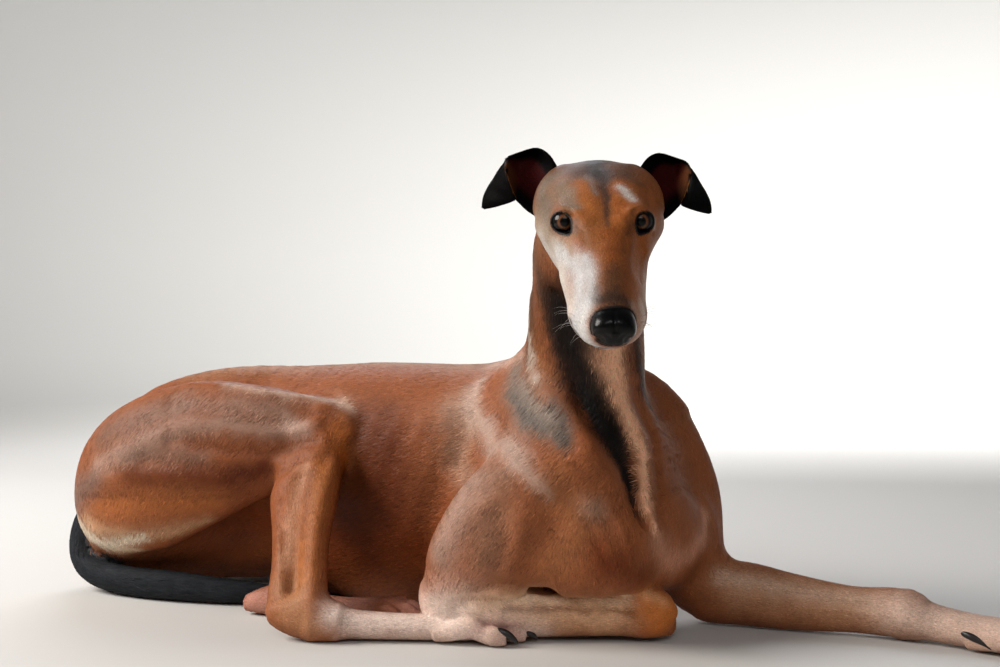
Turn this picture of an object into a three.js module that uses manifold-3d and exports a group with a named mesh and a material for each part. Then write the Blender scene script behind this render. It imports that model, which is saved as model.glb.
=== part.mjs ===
// A greyhound lying with its head up, life size. Millimetres: +X toward the chest, +Y to its left, +Z up.
// It is modelled as smooth tubes through a few named stations, joined, then parted by thin cuts.
import * as THREE from "three";
import Module from "manifold-3d";

// Driving sizes.
const GAP = 0.3; // the cut between neighbouring parts
const FLOOR = 0; // every resting flat lies at this level
const FLOOR_REACH = 1000; // half the side of the block that stands for the floor
const FLOOR_DEPTH = 500;
const ORIGIN = [20, -57, 0]; // the move that puts the middle of the flat under the brisket at the origin
const EYE_RADIUS = 11.5;
const EYE_SPACING = 64; // between the two eyeball centres
const LID_RADIUS = 13.2;
const EAR_DROP_LEFT = 6; // the left ear sits a little lower than the right
const TOE_SPREAD = 12.4; // between neighbouring toes
const TOE_FAN = 0.08; // radians that neighbouring toes turn apart
const OUTER_TOE_REACH = -17; // the outer two toes of a foot end this much short of the middle two
const CAP = 0.35; // how far a tube's end is drawn out, as a share of its smaller half size
const HEAD_YAW = -76; // degrees from +X, the way the muzzle points
const HEAD_PITCH = 34; // degrees that the muzzle points down
const HEAD_ORIGIN = new THREE.Vector3(217, -222, 405); // midway between the eyes

const SIDE = new THREE.Vector3(0, 1, 0);
const UP = new THREE.Vector3(0, 0, 1);

const wasm = await Module();
wasm.setup();

// The head's own axes: forward along the muzzle, left, up.
const yaw = THREE.MathUtils.degToRad(HEAD_YAW);
const pitch = THREE.MathUtils.degToRad(HEAD_PITCH);
const FORWARD = new THREE.Vector3(
  Math.cos(pitch) * Math.cos(yaw), Math.cos(pitch) * Math.sin(yaw), -Math.sin(pitch),
);
const LEFT = new THREE.Vector3(-Math.sin(yaw), Math.cos(yaw), 0);
const CROWN = new THREE.Vector3().crossVectors(FORWARD, LEFT);

function headPoint(forward, left, up) {
  return HEAD_ORIGIN.clone()
    .addScaledVector(FORWARD, forward)
    .addScaledVector(LEFT, left)
    .addScaledVector(CROWN, up);
}

// Stations given on the head's own axes, as stations of the whole animal.
function onHead(stations) {
  return stations.map(([forward, left, up, ...rest]) => [...headPoint(forward, left, up).toArray(), ...rest]);
}

function solid(positions, index) {
  return new wasm.Manifold(new wasm.Mesh({
    numProp: 3, vertProperties: new Float32Array(positions), triVerts: new Uint32Array(index),
  }));
}

function join(solids) {
  return solids.reduce((all, next) => all.add(next));
}

// One ring of a tube: an ellipse, squarer as power rises and wider below as egg falls under 0.
function ringOf(centre, across, upward, halfWidth, halfHeight, { power, egg, around }) {
  const out = [];
  for (let k = 0; k < around; k++) {
    const angle = (2 * Math.PI * k) / around;
    const c = Math.sign(Math.cos(angle)) * Math.abs(Math.cos(angle)) ** (2 / power);
    const d = Math.sign(Math.sin(angle)) * Math.abs(Math.sin(angle)) ** (2 / power);
    out.push(centre.clone()
      .addScaledVector(across, halfWidth * c * (1 + egg * d))
      .addScaledVector(upward, halfHeight * d));
  }
  return out;
}

// A closed tube through stations [x, y, z, half width, half height, egg]. Its width lies along the side
// given.
function tube(stations, { side = SIDE, power = 2, egg = 0, around = 12, grow = 0 } = {}) {
  const points = stations.map((row) => new THREE.Vector3(row[0], row[1], row[2]));
  const last = stations.length - 1;
  const corners = [];
  const index = [];
  const tips = [];
  stations.forEach((row, i) => {
    const before = points[Math.max(i - 1, 0)];
    const after = points[Math.min(i + 1, last)];
    const tangent = after.clone().sub(before).normalize();
    const across = side.clone().addScaledVector(tangent, -side.dot(tangent)).normalize();
    const upward = new THREE.Vector3().crossVectors(tangent, across);
    const centre = points[i].clone();
    const end = i === 0 ? -1 : i === last ? 1 : 0;
    centre.addScaledVector(tangent, end * grow);
    if (end !== 0) tips.push(centre.clone().addScaledVector(tangent, end * CAP * Math.min(row[3], row[4])));
    const shape = { power, egg: row[5] ?? egg, around };
    corners.push(...ringOf(centre, across, upward, row[3] + grow, row[4] + grow, shape));
  });
  for (let i = 0; i < last; i++) {
    for (let k = 0; k < around; k++) {
      const a = i * around + k;
      const b = i * around + ((k + 1) % around);
      index.push(a, b, b + around, a, b + around, a + around);
    }
  }
  const first = corners.length;
  for (let k = 0; k < around; k++) {
    const next = (k + 1) % around;
    index.push(first, next, k);
    index.push(first + 1, last * around + k, last * around + next);
  }
  return solid([...corners, ...tips].flatMap((p) => p.toArray()), index);
}

// The block of the floor, which trims every resting flat.
function floorBlock() {
  const size = 2 * FLOOR_REACH;
  return wasm.Manifold.cube([size, size, FLOOR_DEPTH], true).translate([0, 0, FLOOR - FLOOR_DEPTH / 2]);
}

// The trunk from chest to rump, rolled a little onto its left side. Columns: x, y, z, half width, half
// height.
const TRUNK = [
  [246, -36, 120, 30, 28], [224, -26, 128, 60, 62], [190, -10, 142, 76, 92], [145, 8, 143, 84, 120],
  [90, 26, 139, 89, 137], [20, 48, 138, 92, 140], [-60, 62, 139, 95, 141], [-140, 70, 144, 93, 137],
  [-210, 78, 157, 82, 123], [-280, 76, 173, 72, 105], [-340, 63, 172, 70, 95],
  [-388, 50, 156, 68, 88], [-424, 40, 130, 60, 75], [-456, 33, 104, 44, 56], [-478, 29, 88, 20, 28],
];
const NECK = [
  [116, 18, 176, 72, 84], [144, 0, 224, 72, 86], [163, -32, 284, 60, 73], [174, -70, 346, 54, 64],
  [184, -104, 394, 57, 58], [196, -134, 422, 47, 45], [204, -156, 430, 35, 31],
];
const WITHERS = [
  [10, 48, 222, 28, 30], [56, 32, 230, 34, 34], [98, 4, 242, 32, 32], [126, -24, 268, 20, 20],
];
const BREAST = [
  [146, -90, 72, 27, 22], [172, -85, 85, 41, 34], [200, -74, 99, 52, 44], [216, -40, 101, 55, 44],
  [238, 0, 99, 57, 46], [252, 36, 109, 46, 42],
];
const BELLY = [
  [-290, 84, 50, 30, 48], [-210, 80, 47, 34, 46], [-130, 62, 43, 38, 43], [-60, 56, 43, 40, 43],
  [20, 56, 45, 40, 45], [100, 50, 52, 36, 48], [165, 36, 58, 34, 50], [214, 30, 68, 30, 42],
];
// Head stations on the head's axes: forward, left, up, half width, half height, egg.
const HEAD = onHead([
  [-114, 0, -24, 22, 17, 0], [-100, 0, -22, 40, 30, 0.06], [-72, 0, -21, 52, 43, 0.1],
  [-40, 0, -21, 57, 45, 0.1], [-14, 0, -21, 53, 43, 0.06], [14, 0, -22, 43, 38, -0.04],
  [44, 0, -25, 36.5, 33, -0.14], [76, 0.5, -28, 32, 30, -0.22], [102, 1, -31, 29, 27, -0.24],
  [119, 2, -33, 24, 22, -0.14], [130, 3, -34, 15, 13, 0],
]);
const NOSE = onHead([
  [110, 3, -21.5, 11, 7], [118, 3, -24, 15.5, 11.5], [127, 3, -27, 17.6, 14],
  [134, 3, -29.5, 16.3, 12.8], [139, 3, -31, 10.8, 8],
]);
const NOSTRIL = [[128, 8, -28, 2, 2], [136, 9, -29, 3.2, 3], [144, 10, -29, 4, 4]];
const NOSE_MIDDLE = 3; // the nose leather's middle, left of the head's own middle
// One ear, out from the skull and folded down at the tip: its two edges, as forward, left, up.
const EAR_BACK_EDGE = [
  [-76, 33, 6], [-88, 43, 21], [-96, 55, 26], [-97, 70, 22], [-94, 81, 17], [-90, 90, 9],
  [-88, 96, 0], [-86, 102, -9], [-82, 106, -17], [-77, 107, -24],
];
const EAR_FRONT_EDGE = [
  [-46, 54, -20], [-51, 63, -17], [-57, 70, -13], [-64, 77, -7], [-70, 84, 15], [-61, 81, 9],
  [-56, 77, 0], [-56, 75, -7], [-64, 87, -16], [-76, 104, -26],
];
const EAR_CUP = [8, 17, 20, 19, 12, 3, -3, -4, -3, 0]; // how deep each row is hollowed toward the back
const EAR_THICKNESS = [8, 5, 3.6, 3.2, 3.2, 3.2, 3, 3, 2.8, 2.4];

const SHOULDER_RIGHT = [
  [80, -18, 246, 22, 30], [115, -42, 230, 32, 46], [150, -62, 208, 34, 50], [182, -76, 184, 30, 36],
];
const ARM_RIGHT = [
  [190, -78, 184, 30, 38], [150, -84, 160, 36, 56], [105, -90, 122, 38, 66], [65, -92, 82, 34, 56],
  [38, -88, 50, 26, 40], [22, -86, 36, 16, 24],
];
const FOREARM_RIGHT = [
  [10, -86, 34, 16, 20], [32, -88, 37, 28, 32], [75, -84, 34, 26, 31], [120, -74, 29, 22, 26],
  [170, -62, 27, 18, 23], [205, -53, 29, 19, 24.5], [228, -48, 30, 21.5, 27.5],
  [244, -45, 31, 19, 24], [254, -43.5, 31, 13, 16], [259, -43, 31, 6, 7],
];
const PAW_FRONT_RIGHT = [
  [246, -38, 24, 16, 20], [232, -29, 18, 18, 18], [208, -24, 15, 19, 15], [184, -22, 14, 21, 14],
  [168, -22, 13, 20, 13],
];
const SHOULDER_LEFT = [
  [95, 60, 250, 22, 30], [155, 68, 247, 32, 42], [202, 64, 234, 33, 41], [232, 60, 208, 25, 32],
];
const ARM_LEFT = [
  [210, 62, 226, 18, 20], [228, 61, 204, 27, 33], [241, 60, 180, 34, 41], [250, 54, 136, 36, 48],
  [255, 48, 88, 35, 47], [260, 44, 54, 31, 42], [260, 42, 34, 22, 28],
];
const FOREARM_LEFT = [
  [254, 44, 31, 16, 18], [276, 42, 34, 27, 33], [320, 40, 35, 27, 35], [370, 37, 30, 23, 31],
  [430, 34, 27, 19, 25], [474, 32, 27, 23, 26], [494, 30, 25, 21, 22],
];
const PAW_FRONT_LEFT = [
  [482, 31, 26, 21, 23], [510, 24, 21, 19, 19], [545, 14, 18, 21, 17], [572, 6, 17, 26, 17],
  [586, 2, 16, 22, 14],
];
const THIGH_RIGHT = [
  [-456, -4, 86, 24, 36], [-428, -14, 102, 42, 63], [-388, -23, 130, 52, 85],
  [-340, -28, 158, 54, 90], [-275, -28, 180, 50, 82], [-215, -22, 191, 42, 66],
  [-170, -12, 198, 34, 52], [-138, -4, 202, 28, 40], [-118, 0, 202, 16, 24],
];
// The tibia in front, and the tendon to the heel behind it.
const TIBIA_RIGHT = [
  [-140, 0, 216, 22, 24], [-134, -10, 196, 28, 30], [-136, -36, 164, 27, 33],
  [-129, -64, 128, 21, 29], [-120, -92, 92, 17, 24], [-109, -116, 60, 16, 22],
  [-102, -130, 40, 16, 21], [-100, -136, 28, 14, 16],
];
const CALF_RIGHT = [
  [-176, -4, 196, 14, 18], [-166, -30, 170, 22, 32], [-160, -60, 136, 19, 28],
  [-150, -88, 100, 12, 21], [-142, -112, 68, 10, 16], [-137, -132, 42, 10, 14],
  [-134, -140, 28, 10, 13],
];
const HOCK_RIGHT = [
  [-138, -146, 25, 8, 9], [-125, -144, 24, 12.5, 16], [-104, -138, 22, 17, 21],
  [-72, -129, 19, 16, 17],
];
const FOOT_RIGHT = [
  [-96, -136, 20, 17, 18], [-50, -123, 16, 16, 15], [0, -109, 14, 17, 13.5],
  [40, -98, 14, 19.5, 13.5], [60, -93, 13, 19, 12], [70, -90, 11, 15, 9],
];
const THIGH_LEFT = [
  [-466, 14, 50, 36, 30], [-442, 32, 52, 46, 50], [-408, 54, 62, 60, 64], [-360, 80, 68, 66, 80],
  [-300, 104, 63, 61, 78], [-240, 134, 55, 53, 66], [-205, 163, 51, 42, 42], [-184, 172, 45, 24, 26],
];
const SHANK_LEFT = [
  [-192, 176, 42, 26, 28], [-192, 146, 42, 32, 38], [-190, 98, 36, 28, 36], [-188, 40, 28, 22, 29],
  [-186, -15, 21, 16, 22], [-182, -52, 18, 14, 18],
];
const HOCK_LEFT = [
  [-216, -60, 12, 7, 9], [-204, -60, 14, 11, 13], [-180, -58, 17, 14.5, 17], [-140, -58, 15, 14, 14],
];
const FOOT_LEFT = [
  [-168, -57, 18, 15, 16], [-110, -59, 14, 16, 13], [-70, -59, 14, 18, 14], [-46, -58, 15, 21, 15],
  [-30, -58, 14, 18, 13],
];
const TAIL = [
  [-450, 28, 126, 22, 24], [-474, 20, 98, 20, 20], [-484, 8, 68, 17, 17], [-474, -6, 40, 16, 16],
  [-444, -16, 24, 17, 19], [-390, -27, 19, 16, 20], [-330, -33, 19, 15, 20], [-260, -29, 16, 14, 17],
  [-215, -18, 13, 12, 14], [-185, -14, 10, 10, 11], [-130, -20, 8, 8, 9],
];

// One toe and one claw: along, up, half width, half height.
const TOE = [
  [-16, 9.6, 5.4, 7.6], [10, 16.4, 7, 10.3], [26, 11.6, 6.1, 8.2], [39, 9.6, 6.8, 9.4], [48, 7.4, 4, 6],
];
const CLAW = [[35, 13.6, 2.6, 3.4], [46, 13.2, 3.2, 4.1], [59, 5, 0.6, 0.8]];
// Where each foot's toes start, the way they point in degrees, and their size.
const FEET = {
  front_left: [576, 4, -20, 1.05],
  front_right: [172, -22, 178, 0.92],
  hind_right: [62, -92, 13, 1.08],
  hind_left: [-36, -57, -2, 1],
};
const DEWCLAWS = {
  front_left: [[526, 4, 20, 2, 2.4], [537, -4, 17, 3, 3.6], [548, -9, 12.5, 2, 2.6], [554, -11, 8, 0.8, 1]],
  front_right: [[226, -14, 17, 2, 2.4], [218, -8, 15, 3, 3.6], [208, -5, 11, 0.8, 1]],
};

// The eyes: centre and the way the lids open, on the head's axes. Opening: along, half width, half height.
const EYE_PLACE = [5, EYE_SPACING / 2, 1];
const GAZE = new THREE.Vector3(0.89, 0.28, 0.3).normalize().toArray();
const OPENING = [[2, 4, 3.4], [9, 8.8, 7.6], [14, 12, 10], [26, 22, 19]];
const BALL_RINGS = 5;

const ACROSS_NECK = new THREE.Vector3(0.6, 0.8, 0).normalize(); // the neck's width, turned with the head
const ACROSS_SHANK = new THREE.Vector3(0.2, 1, 0).normalize();

// A toe's or claw's stations on one foot. Place runs from -1.5 to 1.5 across the foot.
function digit(foot, place, rows) {
  const [x, y, heading, size] = FEET[foot];
  const angle = THREE.MathUtils.degToRad(heading);
  const fan = angle + place * TOE_FAN;
  const reach = Math.abs(place) > 1 ? OUTER_TOE_REACH : 0;
  return rows.map(([along, up, halfWidth, halfHeight]) => [
    x + size * ((along + reach) * Math.cos(fan) - place * TOE_SPREAD * Math.sin(angle)),
    y + size * ((along + reach) * Math.sin(fan) + place * TOE_SPREAD * Math.cos(angle)),
    size * up, size * halfWidth, size * halfHeight,
  ]);
}

function acrossFoot(foot) {
  const angle = THREE.MathUtils.degToRad(FEET[foot][2]);
  return new THREE.Vector3(-Math.sin(angle), Math.cos(angle), 0);
}

const DIGITS = [-1.5, -0.5, 0.5, 1.5];
function toesOf(foot, grow) {
  return DIGITS.map((place) => tube(digit(foot, place, TOE), { side: acrossFoot(foot), around: 5, grow }));
}

// A thin leaf between two edges, hollowed to the back and closed by its rim. One ear; the other mirrors it.
function ear(mirror, grow) {
  const across = 5;
  const wide = across + 1;
  const rows = EAR_BACK_EDGE.length;
  const drop = mirror > 0 ? EAR_DROP_LEFT : 0;
  const sheet = EAR_FRONT_EDGE.map((front, i) => Array.from({ length: wide }, (_, k) => {
    const t = k / across;
    const p = front.map((v, c) => v + (EAR_BACK_EDGE[i][c] - v) * t);
    return headPoint(p[0] - EAR_CUP[i] * 4 * t * (1 - t), mirror * p[1], p[2] - drop);
  }));
  const normalAt = (i, k) => {
    const along = sheet[Math.min(i + 1, rows - 1)][k].clone().sub(sheet[Math.max(i - 1, 0)][k]);
    const over = sheet[i][Math.min(k + 1, across)].clone().sub(sheet[i][Math.max(k - 1, 0)]);
    return along.cross(over).normalize().multiplyScalar(mirror);
  };
  const corners = [];
  for (const face of [1, -1]) {
    for (let i = 0; i < rows; i++) {
      for (let k = 0; k < wide; k++) {
        const offset = face * (EAR_THICKNESS[i] / 2 + grow);
        corners.push(sheet[i][k].clone().addScaledVector(normalAt(i, k), offset));
      }
    }
  }
  const other = rows * wide;
  const index = [];
  const quad = (a, b, c, d) => (mirror > 0 ? index.push(a, b, c, a, c, d) : index.push(a, c, b, a, d, c));
  for (let i = 0; i < rows - 1; i++) {
    for (let k = 0; k < across; k++) {
      const a = i * wide + k;
      quad(a, a + wide, a + wide + 1, a + 1);
      quad(other + a, other + a + 1, other + a + wide + 1, other + a + wide);
    }
    const p = i * wide;
    const q = i * wide + across;
    quad(p, other + p, other + p + wide, p + wide);
    quad(q, q + wide, other + q + wide, other + q);
  }
  for (let k = 0; k < across; k++) {
    const q = (rows - 1) * wide + k;
    quad(k, k + 1, other + k + 1, other + k);
    quad(q, other + q, other + q + 1, q + 1);
  }
  return solid(corners.flatMap((p) => p.toArray()), index);
}

// A point on an eye's gaze, a given way out from its centre.
function onGaze(mirror, out) {
  const [forward, left, up] = EYE_PLACE.map((v, i) => v + GAZE[i] * out);
  return headPoint(forward, mirror * left, up).toArray();
}

// A ball about an eye's centre, its poles on the gaze.
function ball(mirror, radius, grow = 0) {
  const rows = Array.from({ length: BALL_RINGS }, (_, i) => {
    const angle = (Math.PI * (i + 0.5)) / BALL_RINGS;
    const half = radius * Math.sin(angle);
    return [...onGaze(mirror, -radius * Math.cos(angle)), half, half];
  });
  return tube(rows, { side: UP, around: 8, grow });
}

function lidOpening(mirror) {
  const rows = OPENING.map(([out, halfWidth, halfHeight]) => [...onGaze(mirror, out), halfWidth, halfHeight]);
  return tube(rows, { side: LEFT, around: 8 });
}

function nostril(mirror, grow) {
  const rows = NOSTRIL.map(([forward, left, ...rest]) => [forward, NOSE_MIDDLE + mirror * left, ...rest]);
  return tube(onHead(rows), { side: LEFT, around: 7, grow: -grow });
}

function noseLeather(grow) {
  return tube(NOSE, { side: LEFT, power: 2.3, around: 10, grow })
    .subtract(nostril(-1, grow))
    .subtract(nostril(1, grow));
}

function headAndNeck(grow) {
  return join([
    tube(HEAD, { side: LEFT, power: 2.4, around: 14, grow }),
    ball(-1, LID_RADIUS),
    ball(1, LID_RADIUS),
    tube(NECK, { side: ACROSS_NECK, around: 12, grow }),
    tube(WITHERS, { around: 8, grow }),
  ]).subtract(lidOpening(-1)).subtract(lidOpening(1));
}

function foreleg(arm, grow) {
  return [
    tube(arm.forearm, { around: 11, grow }),
    tube(arm.shoulder, { around: 10, grow }),
    tube(arm.upper, { around: 10, grow }),
  ];
}

function frontLeft(grow) {
  return join([
    tube(PAW_FRONT_LEFT, { around: 7, grow }),
    ...toesOf("front_left", grow),
    ...foreleg({ forearm: FOREARM_LEFT, shoulder: SHOULDER_LEFT, upper: ARM_LEFT }, grow),
  ]);
}

function frontRight(grow) {
  return join(foreleg({ forearm: FOREARM_RIGHT, shoulder: SHOULDER_RIGHT, upper: ARM_RIGHT }, grow));
}

function hindRight(grow) {
  return join([
    tube(FOOT_RIGHT, { around: 7, grow }),
    tube(HOCK_RIGHT, { around: 7, grow }),
    ...toesOf("hind_right", grow),
    tube(TIBIA_RIGHT, { side: ACROSS_SHANK, around: 9, grow }),
    tube(CALF_RIGHT, { side: ACROSS_SHANK, around: 7, grow }),
    tube(THIGH_RIGHT, { around: 12, grow }),
  ]);
}

function hindLeft(grow) {
  return join([
    tube(FOOT_LEFT, { around: 7, grow }),
    tube(HOCK_LEFT, { around: 7, grow }),
    ...toesOf("hind_left", grow),
    tube(SHANK_LEFT, { side: UP, around: 8, grow }),
    tube(THIGH_LEFT, { side: UP, around: 10, grow }),
  ]);
}

function trunk(grow) {
  return join([
    tube(TRUNK, { power: 2.2, egg: -0.18, around: 16, grow }),
    tube(BREAST, { side: UP, around: 8, grow }),
    tube(BELLY, { side: UP, around: 8, grow }),
  ]);
}

// The animal as groups. Earlier groups keep their shape and later ones give way. A group is parted by thin
// flat cuts: each cut names the piece in front of a plane, given by a point and the way it faces; the last
// name is what is left.
const GROUPS = [
  { make: (grow) => ball(-1, EYE_RADIUS, grow), last: "eye_right" },
  { make: (grow) => ball(1, EYE_RADIUS, grow), last: "eye_left" },
  { make: noseLeather, last: "nose" },
  {
    make: headAndNeck,
    cuts: [["head", headPoint(-84, 0, -60), [0.42, -0.8, 0.42]]],
    last: "neck",
  },
  { make: (grow) => ear(-1, grow), last: "ear_right" },
  { make: (grow) => ear(1, grow), last: "ear_left" },
];
for (const foot of Object.keys(FEET)) {
  DIGITS.forEach((place, i) => {
    const shape = { side: acrossFoot(foot), around: 5 };
    GROUPS.push({
      make: (grow) => tube(digit(foot, place, CLAW), { ...shape, grow }),
      last: `claw_${foot}_${i + 1}`,
    });
  });
  if (DEWCLAWS[foot]) {
    GROUPS.push({ make: (grow) => tube(DEWCLAWS[foot], { around: 5, grow }), last: `dewclaw_${foot}` });
  }
}
GROUPS.push(
  {
    make: frontLeft,
    cuts: [
      ["paw_front_left", new THREE.Vector3(488, 31, 26), [1, 0, 0]],
      ["forearm_left", new THREE.Vector3(288, 42, 62), [0.6, 0, -0.8]],
    ],
    last: "shoulder_left",
  },
  {
    make: frontRight,
    cuts: [["forearm_right", new THREE.Vector3(52, -88, 56), [0.35, 0, -0.94]]],
    last: "shoulder_right",
  },
  {
    make: (grow) => join([tube(PAW_FRONT_RIGHT, { around: 7, grow }), ...toesOf("front_right", grow)]),
    last: "paw_front_right",
  },
  {
    make: hindRight,
    cuts: [
      ["foot_right", new THREE.Vector3(-110, -130, 46), [0, 0, -1]],
      ["shank_right", new THREE.Vector3(-150, -10, 185), [0.75, -0.2, -0.63]],
    ],
    last: "thigh_right",
  },
  {
    make: hindLeft,
    cuts: [
      ["foot_left", new THREE.Vector3(-180, -36, 20), [0, -1, 0]],
      ["shank_left", new THREE.Vector3(-214, 140, 44), [0.85, -0.5, 0]],
    ],
    last: "thigh_left",
  },
  { make: (grow) => tube(TAIL, { around: 6, grow }), last: "tail" },
  {
    make: trunk,
    cuts: [
      ["chest", new THREE.Vector3(-20, 0, 0), [1, 0, 0]],
      ["loin", new THREE.Vector3(-300, 0, 0), [1, 0, 0]],
    ],
    last: "croup",
  },
);

const COLOURS = {
  head: 0x8f5a34, neck: 0x6a4a34, chest: 0x8f5a34, loin: 0x87522e, croup: 0x8a5734, tail: 0x151212,
  thigh: 0x87563a, shank: 0x93603f, foot: 0xc4a593, shoulder: 0x8f5a38, forearm: 0x9a683f, paw: 0xb79782,
  ear: 0x1a1413, eye: 0x1c100b, nose: 0x0c0c0d, claw: 0x141211, dewclaw: 0x141211,
};
const ROUGHNESS = { eye: 0.05, nose: 0.35, claw: 0.4, dewclaw: 0.4 };
const COAT_ROUGHNESS = 0.8;

const group = new THREE.Group();
// Adds one node. A cut can leave crumbs behind; the node is the largest piece.
function addNode(name, body) {
  const pieces = body.decompose().sort((p, q) => q.volume() - p.volume());
  const mesh = pieces[0].getMesh();
  const geometry = new THREE.BufferGeometry();
  geometry.setAttribute("position", new THREE.BufferAttribute(new Float32Array(mesh.vertProperties), 3));
  geometry.setIndex(new THREE.BufferAttribute(new Uint32Array(mesh.triVerts), 1));
  geometry.translate(...ORIGIN);
  const kind = name.split("_")[0];
  const material = new THREE.MeshStandardMaterial({
    color: COLOURS[kind], roughness: ROUGHNESS[kind] ?? COAT_ROUGHNESS, metalness: 0,
  });
  const node = new THREE.Mesh(geometry, material);
  node.name = name;
  group.add(node);
}

let taken = floorBlock();
for (const { make, cuts = [], last } of GROUPS) {
  let left = make(0).subtract(taken);
  taken = taken.add(make(GAP));
  for (const [name, point, facing] of cuts) {
    const normal = new THREE.Vector3(...facing).normalize();
    const offset = normal.dot(point);
    addNode(name, left.trimByPlane(normal.toArray(), offset + GAP / 2));
    left = left.trimByPlane(normal.clone().negate().toArray(), GAP / 2 - offset);
  }
  addNode(last, left);
}

export default group;
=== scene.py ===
"""A greyhound lying with its head up, life size, as a still model.

Lengths in the tables are millimetres on the dog's own axes: +X toward the chest, +Y to its left, +Z up.
The skin is the level surface of a distance field. Each part is a tube along a smooth path. The tubes are
joined by smooth unions, and muscles, tendons and folds are soft ridges and grooves along paths on them.
The coat is thin solid tufts rooted on that skin. Skin and tufts are painted by the same brush strokes.
"""

import bpy
import numpy as np
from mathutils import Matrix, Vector


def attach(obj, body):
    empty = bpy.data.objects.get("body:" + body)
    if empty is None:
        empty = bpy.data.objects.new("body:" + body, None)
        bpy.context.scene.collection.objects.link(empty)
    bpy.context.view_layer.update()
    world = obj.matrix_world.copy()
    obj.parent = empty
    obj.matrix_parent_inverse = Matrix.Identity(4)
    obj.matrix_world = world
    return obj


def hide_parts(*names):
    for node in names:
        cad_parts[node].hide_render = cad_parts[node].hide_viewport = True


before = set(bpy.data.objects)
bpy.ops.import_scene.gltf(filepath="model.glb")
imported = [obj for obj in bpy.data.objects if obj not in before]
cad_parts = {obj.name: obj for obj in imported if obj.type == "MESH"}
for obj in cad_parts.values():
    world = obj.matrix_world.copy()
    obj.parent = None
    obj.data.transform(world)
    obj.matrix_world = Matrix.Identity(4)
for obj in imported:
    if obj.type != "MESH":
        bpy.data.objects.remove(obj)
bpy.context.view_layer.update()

MM = 0.001
SHIFT = np.array([20.0, -57.0, 0.0])  # from the dog's own axes to the frame's, whose origin is the brisket
FAR = 90.0  # a distance beyond every blend
PART_REACH = 75  # how far beyond its own size a part's distance is worked out
COAT_REACH = 20  # and how far beyond it the part still steers the coat
END_SHARE = 0.35  # how far a part's ends are rounded out, as a share of its half size
ACROSS = (0, 1, 0)
UPWARD = (0, 0, 1)

# The head's own axes: forward along the muzzle, left, and up out of the crown.
HEAD_YAW = np.radians(-76)
HEAD_PITCH = np.radians(34)
HEAD_ORIGIN = np.array([217.0, -222.0, 405.0])
FORWARD = np.array([
    np.cos(HEAD_PITCH) * np.cos(HEAD_YAW), np.cos(HEAD_PITCH) * np.sin(HEAD_YAW), -np.sin(HEAD_PITCH)])
LEFT = np.array([-np.sin(HEAD_YAW), np.cos(HEAD_YAW), 0.0])
CROWN = np.cross(FORWARD, LEFT)
HEAD_AXES = np.array([FORWARD, LEFT, CROWN])


def on_head(rows):
    """Rows that start with forward, left, up on the head's axes, moved to the dog's axes."""
    rows = np.atleast_2d(np.array(rows, float))
    rows[:, :3] = HEAD_ORIGIN + rows[:, :3] @ HEAD_AXES
    return rows


def unit(vectors):
    """Vectors scaled to length one."""
    return vectors / np.maximum(np.linalg.norm(vectors, axis=-1, keepdims=True), 1e-9)


def ease(share):
    """Smoothstep: 3t^2 - 2t^3 with t held between 0 and 1."""
    share = np.clip(share, 0, 1)
    return share * share * (3 - 2 * share)


def smooth_path(rows, steps):
    """A Catmull-Rom curve through the rows, every column carried along, with some steps to each span."""
    rows = np.asarray(rows, float)
    ends = np.vstack([rows[:1], rows, rows[-1:]])
    before, start, stop, after = (ends[i:len(ends) - 3 + i, None] for i in range(4))
    t = (np.arange(steps) / steps)[:, None]
    curve = 0.5 * (
        2 * start + (stop - before) * t + (2 * before - 5 * start + 4 * stop - after) * t ** 2
        + (3 * start - before - 3 * stop + after) * t ** 3)
    return np.vstack([curve.reshape(-1, rows.shape[1]), rows[-1:]])


def nearest_on_path(path, points):
    """The nearest place on a broken line, as span number plus share of the span, and the distance to it."""
    best = np.full(len(points), np.inf)
    place = np.zeros(len(points))
    for i, (start, step) in enumerate(zip(path[:-1], np.diff(path, axis=0))):
        share = np.clip((points - start) @ (step / (step @ step)), 0, 1)
        gap = points - start - share[:, None] * step
        squared = np.einsum("ij,ij->i", gap, gap)
        closer = squared < best
        best[closer] = squared[closer]
        place[closer] = i + share[closer]
    return place, np.sqrt(best)


def sample(rows, place):
    """Rows read between their numbers, in straight steps."""
    index = np.clip(place.astype(int), 0, len(rows) - 2)
    share = (place - index)[:, None]
    return rows[index] * (1 - share) + rows[index + 1] * share


def inside_box(points, low, high):
    """Numbers of the points in a box."""
    return np.flatnonzero(((points > low) & (points < high)).all(1))


def smooth_min(a, b, softness):
    """The smaller of two distances, rounded off by k h^2 / 4 with h = max(k - |a - b|, 0) / k."""
    k = np.maximum(softness, 1e-6)
    h = np.maximum(k - np.abs(a - b), 0) / k
    return np.minimum(a, b) - k * h * h / 4


def noise(points, size, seed=0):
    """Smooth noise from -1 to 1: hashed values on a lattice of that size in mm, blended by smoothstep."""
    place = points / size + 17.3 * seed
    cell = np.floor(place).astype(np.int64)
    share = ease(place - cell)
    total = np.zeros(len(points))
    for corner in np.ndindex(2, 2, 2):
        mixed = (cell + corner) @ np.array([73856093, 19349663, 83492791])
        mixed = (mixed ^ (mixed >> 13)) * 1274126177
        value = ((mixed >> 9) & 0xFFFF) / 32767.5 - 1
        total += value * np.prod(np.where(corner, share, 1 - share), axis=1)
    return total


def path_axes(centre, side):
    """Unit vectors along a path, across it toward the side given, and up from both."""
    side = np.array(side, float)
    tangent = unit(np.gradient(centre, axis=0))
    across = unit(side - tangent * (tangent @ side)[:, None])
    return tangent, across, np.cross(tangent, across)


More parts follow.
